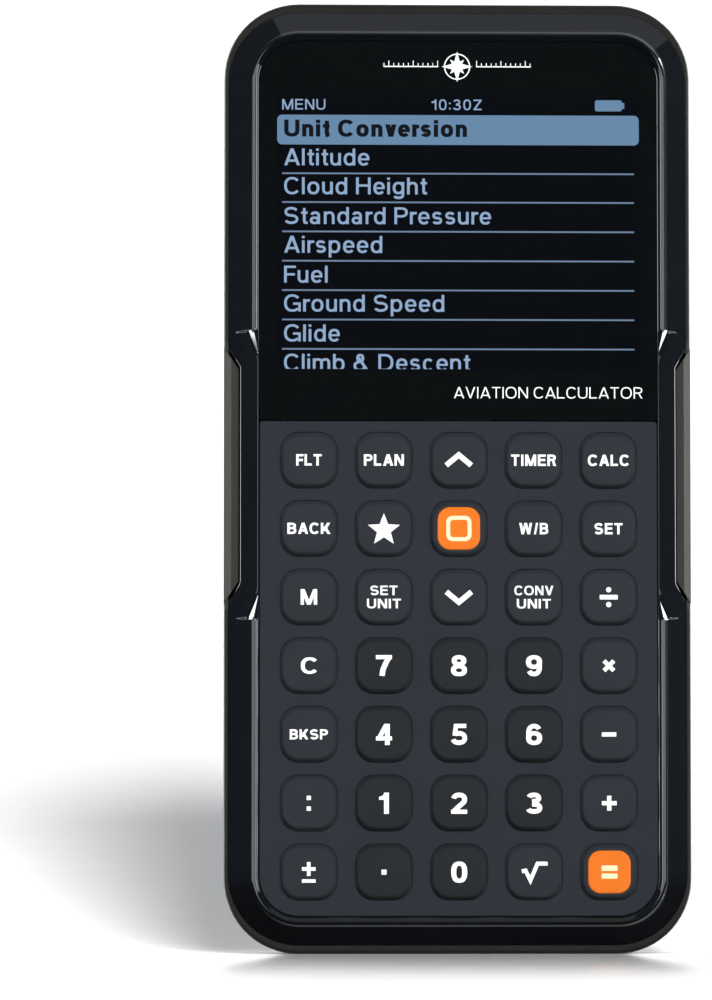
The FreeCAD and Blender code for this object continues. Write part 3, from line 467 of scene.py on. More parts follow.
def waist_profile(dz):
    """The section of the bezel's side at a height dz from the middle of the waist."""
    # how far out the section reaches
    out = lerp(10.40, 12.40, smooth01((dz - 18.6) / (22.9 - 18.6)) * 0.35 + 0.65 * max(0.0, min(1.0, (dz - 19.0) / 3.4)))
    edge_y = slope_y(out)
    if dz >= 25.5:
        pts = [list(p) for p in FULL]
    else:
        # a flat facet falls from the ridge to the floor and runs out at the lip
        d = dz - 25.5
        crest = max(7.30, min(8.12, 8.12 + 0.205 * d))
        crest_y = -8.535 - 0.70 * (crest - 7.18)
        if dz >= 21.3:
            foot = 9.16 + 0.31 * d
        else:
            foot = lerp(7.42, 7.858, smooth01((dz - 19.9) / 1.4))
        pts = [list(p) for p in FULL[:4]]
        for k in (0.10, 0.40, 0.70, 0.90):
            pts.append([lerp(7.18, crest, k), lerp(-8.535, crest_y, k)])
        pts.append([crest - 0.012, crest_y + 0.004])
        pts.append([crest + 0.012, crest_y + 0.006])
        for k in (0.10, 0.35, 0.65, 0.90, 1.0):
            pts.append([lerp(crest + 0.03, foot, k), lerp(crest_y + 0.03, WAIST_FLOOR, k)])
        # flat floor, then the outer slope
        bend = 12.40 + (WAIST_FLOOR + 5.0) / 0.995
        pts.append([lerp(foot, bend, 0.5), WAIST_FLOOR])
        pts.append([bend, WAIST_FLOOR])
        for k in (0.8, 1.0):
            x = lerp(bend, out - 0.13, k)
            pts.append([x, slope_y(x)])
    # outer end: crisp along the plain sides, softly rounded at the waist step
    pts = pts[:19]
    y = edge_y
    soft = max(0.0, min(1.0, (12.40 - out) / 0.5))
    if soft <= 0.0:
        return pts + [[12.20, slope_y(12.20)], [12.30, slope_y(12.30)], [12.40, -5.0], [12.40, -4.85], [12.40, -4.50]]
    end = [[-0.105, -0.1045], [-0.035, -0.030], [-0.006, 0.030], [0.0, 0.11]]
    hard = [[-0.06, -0.0597], [-0.02, -0.0199], [0.0, 0.0], [0.0, 0.15]]
    for a, b in zip(hard, end):
        pts.append([out + lerp(a[0], b[0], soft), y + lerp(a[1], b[1], soft)])
    pts.append([out, -4.50])
    return pts


def bezel():
    straight = []
    z = Z_LOW
    marks = sorted(set([Z_LOW, 20, 30, 42, 52, 56] +
                       [WAIST - 27 + 0.25 * i for i in range(0, 41)] +
                       [WAIST - 16, WAIST - 10, WAIST - 4, WAIST + 4, WAIST + 10, WAIST + 16] +
                       [WAIST + 17 + 0.25 * i for i in range(0, 41)] +
                       [112.5, 118, 128, 138, 148, Z_HIGH]))
    stations = []
    for zz in marks:
        stations.append(("R", zz))
    for i in range(1, 28):
        stations.append(("C", 1, 90.0 * i / 28))
    stations.append(("T", CX))
    for x in (14, 0, -14):
        stations.append(("T", x))
    stations.append(("T", -CX))
    for i in range(1, 28):
        stations.append(("C", 2, 90 + 90.0 * i / 28))
    for zz in reversed(marks):
        stations.append(("L", zz))
    for i in range(1, 28):
        stations.append(("C", 3, 180 + 90.0 * i / 28))
    stations.append(("B", -CX))
    for x in (-14, 0, 14):
        stations.append(("B", x))
    stations.append(("B", CX))
    for i in range(1, 28):
        stations.append(("C", 4, 270 + 90.0 * i / 28))
    columns = []
    for s in stations:
        col = []
        if s[0] in "RL":
            zz = s[1]
            prof = waist_profile(abs(zz - WAIST)) if abs(zz - WAIST) < 28 else FULL
            for rho, y in prof:
                z_real = zz
                if zz == Z_LOW:
                    z_real = centre_z(rho, False)
                if zz == Z_HIGH:
                    z_real = centre_z(rho, True)
                col.append(((CX + rho) * (1 if s[0] == "R" else -1), y, z_real))
        elif s[0] == "C":
            a = math.radians(s[2])
            cx = CX if s[1] in (1, 4) else -CX
            for rho, y in FULL:
                cz = centre_z(rho, s[1] in (1, 2))
                col.append((cx + rho * math.cos(a), y, cz + rho * math.sin(a)))
        else:
            for rho, y in FULL:
                if s[0] == "T":
                    col.append((s[1], y, centre_z(rho, True) + rho))
                else:
                    col.append((s[1], y, centre_z(rho, False) - rho))
        columns.append(col)
    n = len(FULL)
    verts = [p for c in columns for p in c]
    faces = []
    m = len(columns)
    for i in range(m):
        j = (i + 1) % m
        for k in range(n - 1):
            faces.append((i * n + k, j * n + k, j * n + k + 1, i * n + k + 1))
        # the hidden back of the frame
        faces.append((i * n + n - 1, j * n + n - 1, j * n, i * n))
    return make("bezel_moulding", verts, faces, M["bezel"], "case", "gloss_black", sharp=38, replaces=["front_bezel"])


bezel()


# ---------------------------------------------------------------- keypad mat and keys

MAT_TOP = box_mm("keypad_mat")[0][1]
KEY_ROWS = [["sign", "point", "0", "root", "equals"], ["colon", "1", "2", "3", "plus"],
            ["backspace", "4", "5", "6", "minus"], ["clear", "7", "8", "9", "multiply"],
            ["memory", "set_unit", "down", "conv_unit", "divide"], ["back", "star", "select", "wb", "set"],
            ["flt", "plan", "up", "timer", "calc"]]
KEYS = {}
for row in KEY_ROWS:
    for k in row:
        lo, hi = box_mm("key_" + k)
        KEYS[k] = ((lo[0] + hi[0]) / 2, (lo[2] + hi[2]) / 2, lo[1])
for i, row in enumerate(KEY_ROWS):       # every key of a row shares the pitch of the digits
    for j, k in enumerate(row):
        KEYS[k] = ((j - 2) * 13.16, 14.49 + 12.033 * i, -9.5)


def mat_piece():
    lo, hi = box_mm("keypad_mat")
    top, back = lo[1], hi[1]
    cz, hz = (lo[2] + hi[2]) / 2, (hi[2] - lo[2]) / 2
    hx = (hi[0] - lo[0]) / 2
    bm = bmesh.new()

    def loop(points):
        vs = [bm.verts.new((x * MM, y * MM, z * MM)) for x, y, z in points]
        es = [bm.edges.new((vs[i], vs[(i + 1) % len(vs)])) for i in range(len(vs))]
        return vs, es

    def skin(a, b):
        n = len(a)
        for i in range(n):
            j = (i + 1) % n
            bm.faces.new((a[i], a[j], b[j], b[i]))

    def outline(inset, y):
        """The mat's outline: round lower corners, nearly square upper ones under the window's edge."""
        pts = []
        x1, z0, z1 = hx - inset, lo[2] + inset, hi[2] - inset
        r0, r1 = 7.0 - inset, 0.5
        arcs = [((x1 - r1, z1 - r1), r1, 0, 6), ((-x1 + r1, z1 - r1), r1, 90, 6),
                ((-x1 + r0, z0 + r0), r0, 180, 26), ((x1 - r0, z0 + r0), r0, 270, 26)]
        for (ax, az), r, a0, n in arcs:
            for i in range(n + 1):
                a = math.radians(a0 + 90.0 * i / n)
                pts.append((ax + r * math.cos(a), y, az + r * math.sin(a)))
        return pts

    f = 0.22
    o0, e0 = loop(outline(f, top))
    rim_edges = list(e0)
    prev = o0
    for k in range(1, 5):
        a = math.radians(90.0 * k / 4)
        cur, _ = loop(outline(f - f * math.sin(a), top + f * (1 - math.cos(a))))
        skin(prev, cur)
        prev = cur
    cur, _ = loop(outline(0, back))
    skin(prev, cur)
    for k, (cx, kz, _y) in KEYS.items():
        fr = 0.16
        h0, he = loop(rr(cx, kz, 5.0 + fr, 4.9 + fr, 3.25 + fr, top, arc=9, side=2))
        rim_edges += he
        prev = h0
        for s in range(1, 7):
            a = math.radians(90.0 * s / 6)
            g = fr - fr * math.sin(a)
            cur, _ = loop(rr(cx, kz, 5.0 + g, 4.9 + g, 3.25 + g, top + fr * (1 - math.cos(a)), arc=9, side=2))
            skin(prev, cur)
            prev = cur
        cur, _ = loop(rr(cx, kz, 5.0, 4.9, 3.25, back, arc=9, side=2))
        skin(prev, cur)
    bmesh.ops.triangle_fill(bm, use_beauty=True, use_dissolve=False, edges=rim_edges)
    me = bpy.data.meshes.new("keypad_sheet")
    bm.to_mesh(me)
    bm.free()
    return piece("keypad_sheet", me, M["mat"], "case", 50, ["keypad_mat"], weighted=True)


mat_piece()


def crown(dx, dz):
    """How far a key's top falls away from its middle."""
    q = min(1.0, max(abs(dx) / 3.9, abs(dz) / 3.8))
    return 0.045 * q * q


def key_piece(k):
    cx, cz, top = KEYS[k]
    lo, hi = box_mm("key_" + k)
    orange = k in ("select", "equals")
    mat = M["key_dark"] if k in "0123456789" or k == "point" else M["key"]
    rings = []
    f = 0.72
    edge_y = top + 0.05
    # (half width, half height, corner radius, y); the skirt flares into the mat's opening
    sheet = MAT_TOP
    rings += [(4.97, 4.87, 3.22, -7.3), (4.97, 4.87, 3.22, sheet + 0.12), (4.945, 4.845, 3.20, sheet + 0.04),
              (4.89, 4.79, 3.17, sheet - 0.05), (4.82, 4.72, 3.13, sheet - 0.14), (4.76, 4.66, 3.10, sheet - 0.25)]
    r_top = (4.68, 4.58, 3.05)
    f = min(0.86, sheet - 0.36 - edge_y)
    rings.append((r_top[0] + 0.02, r_top[1] + 0.02, r_top[2], edge_y + f + 0.01))
    for s in range(1, 9):
        a = math.radians(90.0 * s / 8)
        g = f * (1 - math.cos(a))
        rings.append((r_top[0] - g, r_top[1] - g, r_top[2] - g * 0.75, edge_y + f * (1 - math.sin(a))))
    last = rings[-1]
    for q in (0.94, 0.84, 0.68, 0.48, 0.26, 0.08):
        rings.append((last[0] * q, last[1] * q, last[2] * q, top + 0.05 * q * q))
    loops = [rr(cx, cz, hx, hz, r, y, arc=9, side=2) for hx, hz, r, y in rings]
    verts, faces = loft(loops, close_start=True, close_end=True)
    names = ["key_" + k]
    obj = make("keytop_" + k, verts, faces, mat, "key_" + k,
               "key_rubber_dark" if mat is M["key_dark"] else "key_rubber", sharp=60, replaces=names)
    if orange:
        cap = "key_" + k + "_cap"
        clo, chi = box_mm(cap)
        hx, hz, r = 3.78, 3.78, 2.25
        y0, y1 = chi[1] + 0.25, -9.66
        f2 = 0.34
        rings = [(hx, hz, r, y0), (hx, hz, r, y1 + f2)]
        for s in range(1, 7):
            a = math.radians(90.0 * s / 6)
            g = f2 * (1 - math.cos(a))
            rings.append((hx - g, hz - g, r - g * 0.8, y1 + f2 * (1 - math.sin(a))))
        last = rings[-1]
        for q in (0.9, 0.7, 0.4, 0.12):
            rings.append((last[0] * q, last[1] * q, last[2] * q, y1 - 0.0))
        loops = [rr(cx, cz, a_, b_, c_, y, arc=9, side=2) for a_, b_, c_, y in rings]
        verts, faces = loft(loops, close_start=True, close_end=True)
        make("keycap_" + k, verts, faces, M["orange"], "key_" + k, "key_orange", sharp=60, replaces=[cap])


for k in KEYS:
    key_piece(k)


# ---------------------------------------------------------------- lettering

def poly(points, thick=0.03):
    """A flat polygon plate in the plane of the face."""
    n = len(points)
    verts = [(x, -thick / 2, z) for x, z in points] + [(x, thick / 2, z) for x, z in points]
    faces = [tuple(range(n)), tuple(range(2 * n - 1, n - 1, -1))]
    faces += [(i, i + n, (i + 1) % n + n, (i + 1) % n) for i in range(n)]
    return verts, faces


def strip(a, b, thick=0.03, closed=False):
    """A flat band between two lines of equal count."""
    n = len(a)
    verts = [(x, y, z) for y in (-thick / 2, thick / 2) for line in (a, b) for x, z in line]
    faces = []
    for i in range(n if closed else n - 1):
        j = (i + 1) % n
        faces.append((i, j, n + j, n + i))
        faces.append((2 * n + i, 3 * n + i, 3 * n + j, 2 * n + j))
        faces.append((i, 2 * n + i, 2 * n + j, j))
        faces.append((n + i, n + j, 3 * n + j, 3 * n + i))
    if not closed:
        faces.append((0, n, 3 * n, 2 * n))
        faces.append((n - 1, 3 * n - 1, 4 * n - 1, 2 * n - 1))
    return verts, faces


def stroke(points, width, thick=0.03, closed=False):
    """A flat band of even width along a line of points, with mitred corners."""
    n = len(points)
    left, right = [], []
    for i, p in enumerate(points):
        a = points[i - 1] if (i > 0 or closed) else None
        b = points[(i + 1) % n] if (i < n - 1 or closed) else None
        d1 = Vector((p[0] - a[0], p[1] - a[1])).normalized() if a else None
        d2 = Vector((b[0] - p[0], b[1] - p[1])).normalized() if b else None
        d1 = d1 or d2
        d2 = d2 or d1
        n1, n2 = Vector((-d1.y, d1.x)), Vector((-d2.y, d2.x))
        m = (n1 + n2).normalized()
        k = (width / 2) / max(0.35, m.dot(n1))
        left.append((p[0] + m.x * k, p[1] + m.y * k))
        right.append((p[0] - m.x * k, p[1] - m.y * k))
    return strip(left, right, thick, closed)


def disc(cx, cz, r, n=28, thick=0.03):
    return poly([(cx + r * math.cos(2 * math.pi * i / n), cz + r * math.sin(2 * math.pi * i / n)) for i in range(n)], thick)


def bar(x0, z0, x1, z1, thick=0.03):
    return poly([(x0, z0), (x1, z0), (x1, z1), (x0, z1)], thick)


def oval(cx, cz, rx, rz, a0=0.0, a1=360.0, n=None, p=2.3):
    """Points along a slightly squared oval."""
    n = n or max(6, int(abs(a1 - a0) / 9))
    pts = []
    for i in range(n + 1):
        a = math.radians(lerp(a0, a1, i / n))
        c, s = math.cos(a), math.sin(a)
        pts.append((cx + rx * math.copysign(abs(c) ** (2 / p), c), cz + rz * math.copysign(abs(s) ** (2 / p), s)))
    return pts


def join(*parts):
    verts, faces = [], []
    for v, f in parts:
        k = len(verts)
        verts += v
        faces += [tuple(i + k for i in face) for face in f]
    return verts, faces


def moved(part, dx=0.0, dz=0.0, dy=0.0):
    v, f = part
    return [(x + dx, y + dy, z + dz) for x, y, z in v], f


def extent(part):
    xs = [p[0] for p in part[0]]
    zs = [p[2] for p in part[0]]
    return min(xs), max(xs), min(zs), max(zs)


def centred(part, cx=0.0, cz=0.0):
    x0, x1, z0, z1 = extent(part)
    return moved(part, cx - (x0 + x1) / 2, cz - (z0 + z1) / 2)


def scaled_to(part, width=None, height=None, cx=0.0, cz=0.0):
    """The part stretched to a width and a height, about its middle."""
    x0, x1, z0, z1 = extent(part)
    kx = width / (x1 - x0) if width else 1.0
    kz = height / (z1 - z0) if height else 1.0
    mx, mz = (x0 + x1) / 2, (z0 + z1) / 2
    return [((x - mx) * kx + cx, y, (z - mz) * kz + cz) for x, y, z in part[0]], part[1]


LOW = 0.735         # height of the small letters, with capitals 1 high


def glyph(ch, w):
    """A plain upright sans-serif character, capitals 1 high, main strokes w wide: (width, parts)."""
    h, v = w / 2, 0.86 * w
    u = 1.13 * w
    P = []
    x = LOW

    def B(x0, z0, x1, z1):
        P.append(bar(x0, z0, x1, z1))

    def L(x0, z0, x1, z1, ww=None):
        ww = ww or u
        P.append(poly([(x0, z0), (x0 + ww, z0), (x1 + ww, z1), (x1, z1)]))

    def R(cx, cz, rx, rz, a0=0.0, a1=360.0, p=2.3):
        full = abs(a1 - a0) >= 360
        o = oval(cx, cz, rx, rz, a0, a1, p=p)
        i = oval(cx, cz, rx - w, rz - v, a0, a1, p=p)
        if full:
            o, i = o[:-1], i[:-1]
        P.append(strip(o, i, closed=full))

    def S(points, ww=None):
        P.append(stroke(points, ww or w * 0.97))

    def ess(W, H):
        rz = (H / 2 - v / 2) / 2
        rx = W / 2 - h
        top = oval(W / 2, H / 2 + rz, rx * 0.95, rz, 22, 270, 26, 2.15)
        low = oval(W / 2, H / 2 - rz, rx, rz, 90, -158, 26, 2.15)
        S(top[:-1] + [((top[-1][0] + low[0][0]) / 2, H / 2)] + low[1:], w * 0.93)

    if ch == "A":
        W = 0.93
        L(0, 0, W / 2 - u / 2, 1)
        L(W - u, 0, W / 2 - u / 2, 1)
        B(W * 0.2, 0.21, W * 0.8, 0.21 + v)
    elif ch == "B":
        W, m = 0.82, 0.52
        B(0, 0, w, 1)
        for z in (0, m - v / 2, 1 - v):
            B(h, z, W * 0.52, z + v)
        R(W * 0.5, (1 + m - v / 2) / 2, W * 0.46, (1 - m + v / 2) / 2, -90, 90)
        R(W * 0.5, (m + v / 2) / 2, W * 0.5, (m + v / 2) / 2, -90, 90)
    elif ch == "C":
        W = 0.94
        R(W / 2, 0.5, W / 2, 0.512, 38, 322)
    elif ch == "D":
        W = 0.88
        B(0, 0, w, 1)
        B(h, 0, W * 0.46, v)
        B(h, 1 - v, W * 0.46, 1)
        R(W * 0.44, 0.5, W * 0.56, 0.5, -90, 90)
    elif ch == "E":
        W = 0.74
        B(0, 0, w, 1)
        B(h, 0, W, v)
        B(h, 0.52 - v / 2, W * 0.94, 0.52 + v / 2)
        B(h, 1 - v, W, 1)
    elif ch == "F":
        W = 0.69
        B(0, 0, w, 1)
        B(h, 0.49 - v / 2, W * 0.92, 0.49 + v / 2)
        B(h, 1 - v, W, 1)
    elif ch == "G":
        W = 0.98
        R(W / 2, 0.5, W / 2, 0.512, 38, 318)
        B(W * 0.54, 0.53 - v, W, 0.53)
        B(W - w * 0.9, 0, W, 0.5)
    elif ch == "H":
        W = 0.86
        B(0, 0, w, 1)
        B(W - w, 0, W, 1)
        B(h, 0.52 - v / 2, W - h, 0.52 + v / 2)
    elif ch == "I":
        W = w
        B(0, 0, w, 1)
    elif ch == "K":
        W = 0.88
        B(0, 0, w, 1)
        L(w * 0.4, 0.25, W - u * 1.2, 1, u * 1.15)
        L(W - u * 1.12, 0, w * 0.95, 0.66, u * 1.12)
    elif ch == "L":
        W = 0.68
        B(0, 0, w, 1)
        B(h, 0, W, v)
    elif ch == "M":
        W = 1.03
        B(0, 0, w, 1)
        B(W - w, 0, W, 1)
        L(W / 2 - u / 2, 0, 0.01, 1)
        L(W / 2 - u / 2, 0, W - u - 0.01, 1)
    elif ch == "N":
        W = 0.86
        B(0, 0, w, 1)
        B(W - w, 0, W, 1)
        L(W - u * 1.1, 0, 0, 1, u * 1.1)
    elif ch == "O":
        W = 1.0
        R(W / 2, 0.5, W / 2, 0.512)
    elif ch in "PR":
        W, m = 0.80, (0.40 if ch == "P" else 0.44)
        B(0, 0, w, 1)
        B(h, 1 - v, W * 0.52, 1)
        B(h, m, W * 0.52, m + v)
        R(W * 0.5, (1 + m) / 2, W * 0.49, (1 - m) / 2, -90, 90)
        if ch == "R":
            L(W - u * 0.95, 0, W * 0.47, m + v * 0.6)
    elif ch == "S":
        W = 0.84
        ess(W, 1)
    elif ch == "T":
        W = 0.78
        B(0, 1 - v, W, 1)
        B(W / 2 - h, 0, W / 2 + h, 1 - v / 2)
    elif ch == "U":
        W = 0.86
        B(0, 0.36, w, 1)
        B(W - w, 0.36, W, 1)
        R(W / 2, 0.375, W / 2, 0.385, 180, 360)
    elif ch == "V":
        W = 0.88
        L(W / 2 - u / 2, 0, 0, 1)
        L(W / 2 - u / 2, 0, W - u, 1)
    elif ch == "W":
        W = 1.26
        q = u * 0.97
        L(W * 0.27 - q / 2, 0, 0, 1, q)
        L(W * 0.27 - q / 2, 0, W / 2 - q / 2, 1, q)
        L(W * 0.73 - q / 2, 0, W / 2 - q / 2, 1, q)
        L(W * 0.73 - q / 2, 0, W - q, 1, q)
    elif ch == "Z":
        W = 0.78
        B(0, 0, W, v)
        B(0, 1 - v, W, 1)
        L(0, v * 0.7, W - 1.3 * w, 1 - v * 0.7, 1.3 * w)
    elif ch == "/":
        W = 0.42
        L(0, 0, W - w * 0.9, 1, w * 0.9)
    elif ch == "&":
        W = 0.94
        R(0.40, 0.755, 0.235, 0.25)
        R(0.37, 0.29, 0.37, 0.30, 88, 352)
        L(W - u * 1.15, 0, 0.20, 0.80, u * 1.05)
    elif ch == ":":
        W = w
        B(0, 0.06, w, 0.06 + w)
        B(0, 0.56, w, 0.56 + w)
    elif ch == "0":
        W = 0.72
        R(W / 2, 0.5, W / 2, 0.51, p=2.5)
    elif ch == "1":
        W = 0.46
        B(W - w, 0, W, 1)
        P.append(poly([(0, 0.665), (W - h, 0.665), (W - h, 1.0), (W - w * 0.92, 1.0), (W - w * 1.25, 0.86), (0, 0.80)]))
    elif ch == "2":
        W = 0.72
        S(oval(W / 2, 0.685, W / 2 - h, 0.325 - h, 170, -38, 18) + [(w * 0.62, v * 0.75)])
        B(0, 0, W, v)
    elif ch == "3":
        W = 0.72
        S(oval(W * 0.47, 0.745, W * 0.46 - h, 0.265 - h, 165, -85, 20) + [(W * 0.36, 0.745 - 0.265 + h)], w * 0.95)
        S([(W * 0.36, 0.56 - h)] + oval(W * 0.48, 0.275, W * 0.52 - h, 0.285 - h, 85, -165, 20), w * 0.95)
    elif ch == "4":
        W = 0.76
        B(W * 0.56, 0, W * 0.56 + w, 1)
        B(0, 0.21, W, 0.21 + v)
        L(0, 0.27, W * 0.56 - w * 0.15, 1, w * 1.05)
    elif ch == "5":
        W = 0.72
        B(0.10, 1 - v, W * 0.94, 1)
        L(0.035, 0.44, 0.10, 1, w * 0.9)
        S([(0.035 + h, 0.50)] + oval(W * 0.46, 0.325, W * 0.54 - h, 0.335 - h, 115, -165, 22), w * 0.95)
    elif ch == "6":
        W = 0.72
        R(W / 2, 0.32, W / 2, 0.33)
        S(oval(W / 2, 0.56, W / 2 - h, 0.45 - h, 32, 180, 18) + [(h, 0.34)], w * 0.95)
    elif ch == "7":
        W = 0.70
        B(0, 1 - v, W, 1)
        S([(W - h * 1.1, 1 - v * 0.5), (W * 0.62, 0.62), (W * 0.44, 0.30), (W * 0.38, 0)], w)
    elif ch == "8":
        W = 0.74
        R(W / 2, 0.745, W * 0.455, 0.267)
        R(W / 2, 0.28, W / 2, 0.29)
    elif ch == "9":
        W = 0.72
        R(W / 2, 0.68, W / 2, 0.33)
        S(oval(W / 2, 0.44, W / 2 - h, 0.45 - h, 212, 360, 18) + [(W - h, 0.66)], w * 0.95)
    elif ch == "a":
        W = 0.66
        S(oval(W * 0.47, x - 0.24, W * 0.44 - h, 0.25 - h, 165, 0, 14) + [(W * 0.91 - h, 0)])
        R(W * 0.43, 0.215, W * 0.43, 0.225)
    elif ch == "b":
        W = 0.68
        B(0, 0, w, 1)
        R(W / 2, x / 2, W / 2, x / 2 + 0.01)
    elif ch == "c":
        W = 0.63
        R(W / 2, x / 2, W / 2, x / 2 + 0.01, 42, 318)
    elif ch == "d":
        W = 0.68
        B(W - w, 0, W, 1)
        R(W / 2, x / 2, W / 2, x / 2 + 0.01)
    elif ch == "e":
        W = 0.67
        R(W / 2, x / 2, W / 2, x / 2 + 0.01, 0, 322)
        B(h, x / 2 - v * 0.42, W - 0.01, x / 2 + v * 0.42)
    elif ch == "g":
        W = 0.68
        R(W / 2, x / 2 + 0.01, W / 2, x / 2)
        S([(W - h, x), (W - h, 0.0)] + oval(W / 2, -0.03, W / 2 - h, 0.25 - h, -5, -155, 12))
    elif ch in "hn":
        W = 0.63
        B(0, 0, w, 1 if ch == "h" else x)
        R(W / 2 + 0.01, x - 0.30, W / 2 - 0.01, 0.31, 0, 150)
        B(W - w, 0, W, x - 0.29)
    elif ch == "i":
        W = w
        B(0, 0, w, x)
        B(0, 1 - v, w, 1)
    elif ch == "l":
        W = w
        B(0, 0, w, 1)
    elif ch == "m":
        W = 1.02
        B(0, 0, w, x)
        for a, b in ((0, W / 2 + h), (W / 2 - h, W)):
            R((a + b) / 2 + 0.01, x - 0.26, (b - a) / 2 - 0.01, 0.27, 0, 150)
            B(b - w, 0, b, x - 0.25)
    elif ch == "o":
        W = 0.70
        R(W / 2, x / 2, W / 2, x / 2 + 0.01)
    elif ch == "p":
        W = 0.68
        B(0, -0.27, w, x)
        R(W / 2, x / 2, W / 2, x / 2 + 0.01)
    elif ch == "r":
        W = 0.40
        B(0, 0, w, x)
        S([(h, x - 0.30), (h + 0.05, x - 0.15), (h + 0.13, x - h * 1.1), (W, x - h * 0.9)], w * 0.9)
    elif ch == "s":
        W = 0.60
        ess(W, x)
    elif ch == "t":
        W = 0.38
        B(W * 0.27, 0.16, W * 0.27 + w, 0.94)
        B(0, x - v, W, x)
        S([(W * 0.27 + h, 0.20), (W * 0.27 + h + 0.02, 0.09), (W * 0.27 + h + 0.08, h * 0.9), (W, h * 0.9)], w * 0.9)
    elif ch == "u":
        W = 0.63
        B(W - w, 0, W, x)
        R(W / 2 - 0.01, 0.30, W / 2 - 0.01, 0.31, 180, 330)
        B(0, 0.29, w, x)
    elif ch == "v":
        W = 0.64
        L(W / 2 - u / 2, 0, 0, x)
        L(W / 2 - u / 2, 0, W - u, x)
    else:
        raise ValueError(ch)
    return W, P


def text(string, cap, w, gap=0.20, space=0.36, xscale=1.0, align="LEFT"):
    """A line of text with capitals cap millimetres high, baseline at z 0."""
    parts, at = [], 0.0
    for ch in string:
        if ch == " ":
            at += space
            continue
        W, P = glyph(ch, w)
        close = {"C": 0.055, "r": 0.075, "v": 0.06, "t": 0.035, "F": 0.06, "P": 0.05, "A": 0.045, "G": 0.02, "e": 0.02}.get(ch, 0.0)
        for i, p in enumerate(P):
            parts.append(moved(p, at, 0.0, -0.0012 * i))
        at += W + gap - close
    width = at - gap
    shift = {"LEFT": 0.0, "CENTER": -width / 2, "RIGHT": -width}[align]
    v, f = join(*parts)
    return [((x + shift) * cap * xscale, y, z * cap) for x, y, z in v], f


def word(string, height, width, w=0.2, gap=0.16):
    """A legend of capitals or digits with a given height and width."""
    return scaled_to(text(string, height, w, gap), width, height)


def two_lines(a, b, wa, wb, h, gap):
    top = scaled_to(word(a, h, wa, 0.20), wa, h, 0, h / 2 + gap / 2)
    low = scaled_to(word(b, h, wb, 0.20), wb, h, 0, -h / 2 - gap / 2)
    return join(top, low)


PX = 1 / 5.69       # one unit of the layout grid on the face, in millimetres


def star_points(r1, r2, n=5, turn=90):
    pts = []
    for i in range(2 * n):
        r = r1 if i % 2 == 0 else r2
        a = math.radians(turn + 180.0 * i / n)
        pts.append((r * math.cos(a), r * math.sin(a)))
    return pts


def legend(k):
    h = 11.4 * PX
    words = {"flt": ("FLT", 25.5), "plan": ("PLAN", 40), "timer": ("TIMER", 45), "calc": ("CALC", 41),
             "back": ("BACK", 43), "wb": ("W/B", 29), "set": ("SET", 28), "backspace": ("BKSP", 38)}
    if k in words:
        t, w = words[k]
        return word(t, h if k != "backspace" else 10.2 * PX, w * PX, 0.222)
    if k in "0123456789":
        w = {"1": 9.8}.get(k, 16.0)
        return word(k, 21.0 * PX, w * PX, 0.228)
    if k == "memory":
        return word("M", 15.5 * PX, 16.4 * PX, 0.21)
    if k == "clear":
        return word("C", 16.5 * PX, 16.0 * PX, 0.21)
    if k == "set_unit":
        return two_lines("SET", "UNIT", 27 * PX, 34 * PX, 9.6 * PX, 3.6 * PX)
    if k == "conv_unit":
        return two_lines("CONV", "UNIT", 39 * PX, 34 * PX, 9.6 * PX, 3.6 * PX)
    w = 4.6 * PX
    if k in ("up", "down"):
        s = 1 if k == "up" else -1
        return stroke([(-12.5 * PX, -5.2 * PX * s), (0, 5.2 * PX * s), (12.5 * PX, -5.2 * PX * s)], 5.2 * PX)
    if k == "star":
        return centred(poly(star_points(16.8 * PX, 7.2 * PX)))
    if k == "divide":
        return join(bar(-9 * PX, -w / 2, 9 * PX, w / 2), disc(0, 7.4 * PX, 2.6 * PX), disc(0, -7.4 * PX, 2.6 * PX))
    if k == "multiply":
        a = 4.9 * PX
        return join(stroke([(-a, -a), (a, a)], 4.2 * PX), moved(stroke([(-a, a), (a, -a)], 4.2 * PX), dy=-0.002))
    if k == "minus":
        return bar(-7.2 * PX, -2.1 * PX, 7.2 * PX, 2.1 * PX)
    if k == "plus":
        a, b = 7.4 * PX, 2.1 * PX
        return poly([(-b, -a), (b, -a), (b, -b), (a, -b), (a, b), (b, b), (b, a), (-b, a), (-b, b), (-a, b), (-a, -b), (-b, -b)])
    if k == "colon":
        b = 2.1 * PX
        return join(bar(-b, 3.2 * PX, b, 7.4 * PX), bar(-b, -7.4 * PX, b, -3.2 * PX))
    if k == "point":
        b = 2.5 * PX
        return bar(-b, -b, b, b)
    if k == "sign":
        a, b = 6.8 * PX, 1.8 * PX
        top = poly([(-b, -a), (b, -a), (b, -b), (a, -b), (a, b), (b, b), (b, a), (-b, a), (-b, b), (-a, b), (-a, -b), (-b, -b)])
        return join(moved(top, dz=3.2 * PX), bar(-a, -10.4 * PX, a, -7.0 * PX))
    if k == "root":
        return stroke([(-12.5 * PX, 0.8 * PX), (-8.8 * PX, 1.6 * PX), (-4.0 * PX, -8.2 * PX), (3.2 * PX, 8.4 * PX), (13.2 * PX, 8.4 * PX)], 3.9 * PX)
    if k == "select":
        out = [(x, z) for x, _, z in rr(0, 0, 12.6 * PX, 12.6 * PX, 6.2 * PX, 0, arc=8, side=2)]
        inn = [(x, z) for x, _, z in rr(0, 0, 8.7 * PX, 8.7 * PX, 3.0 * PX, 0, arc=8, side=2)]
        return strip(out, inn, closed=True)
    if k == "equals":
        return join(bar(-7.9 * PX, 1.1 * PX, 7.9 * PX, 6.6 * PX), bar(-7.9 * PX, -6.6 * PX, 7.9 * PX, -1.4 * PX))
    raise ValueError(k)


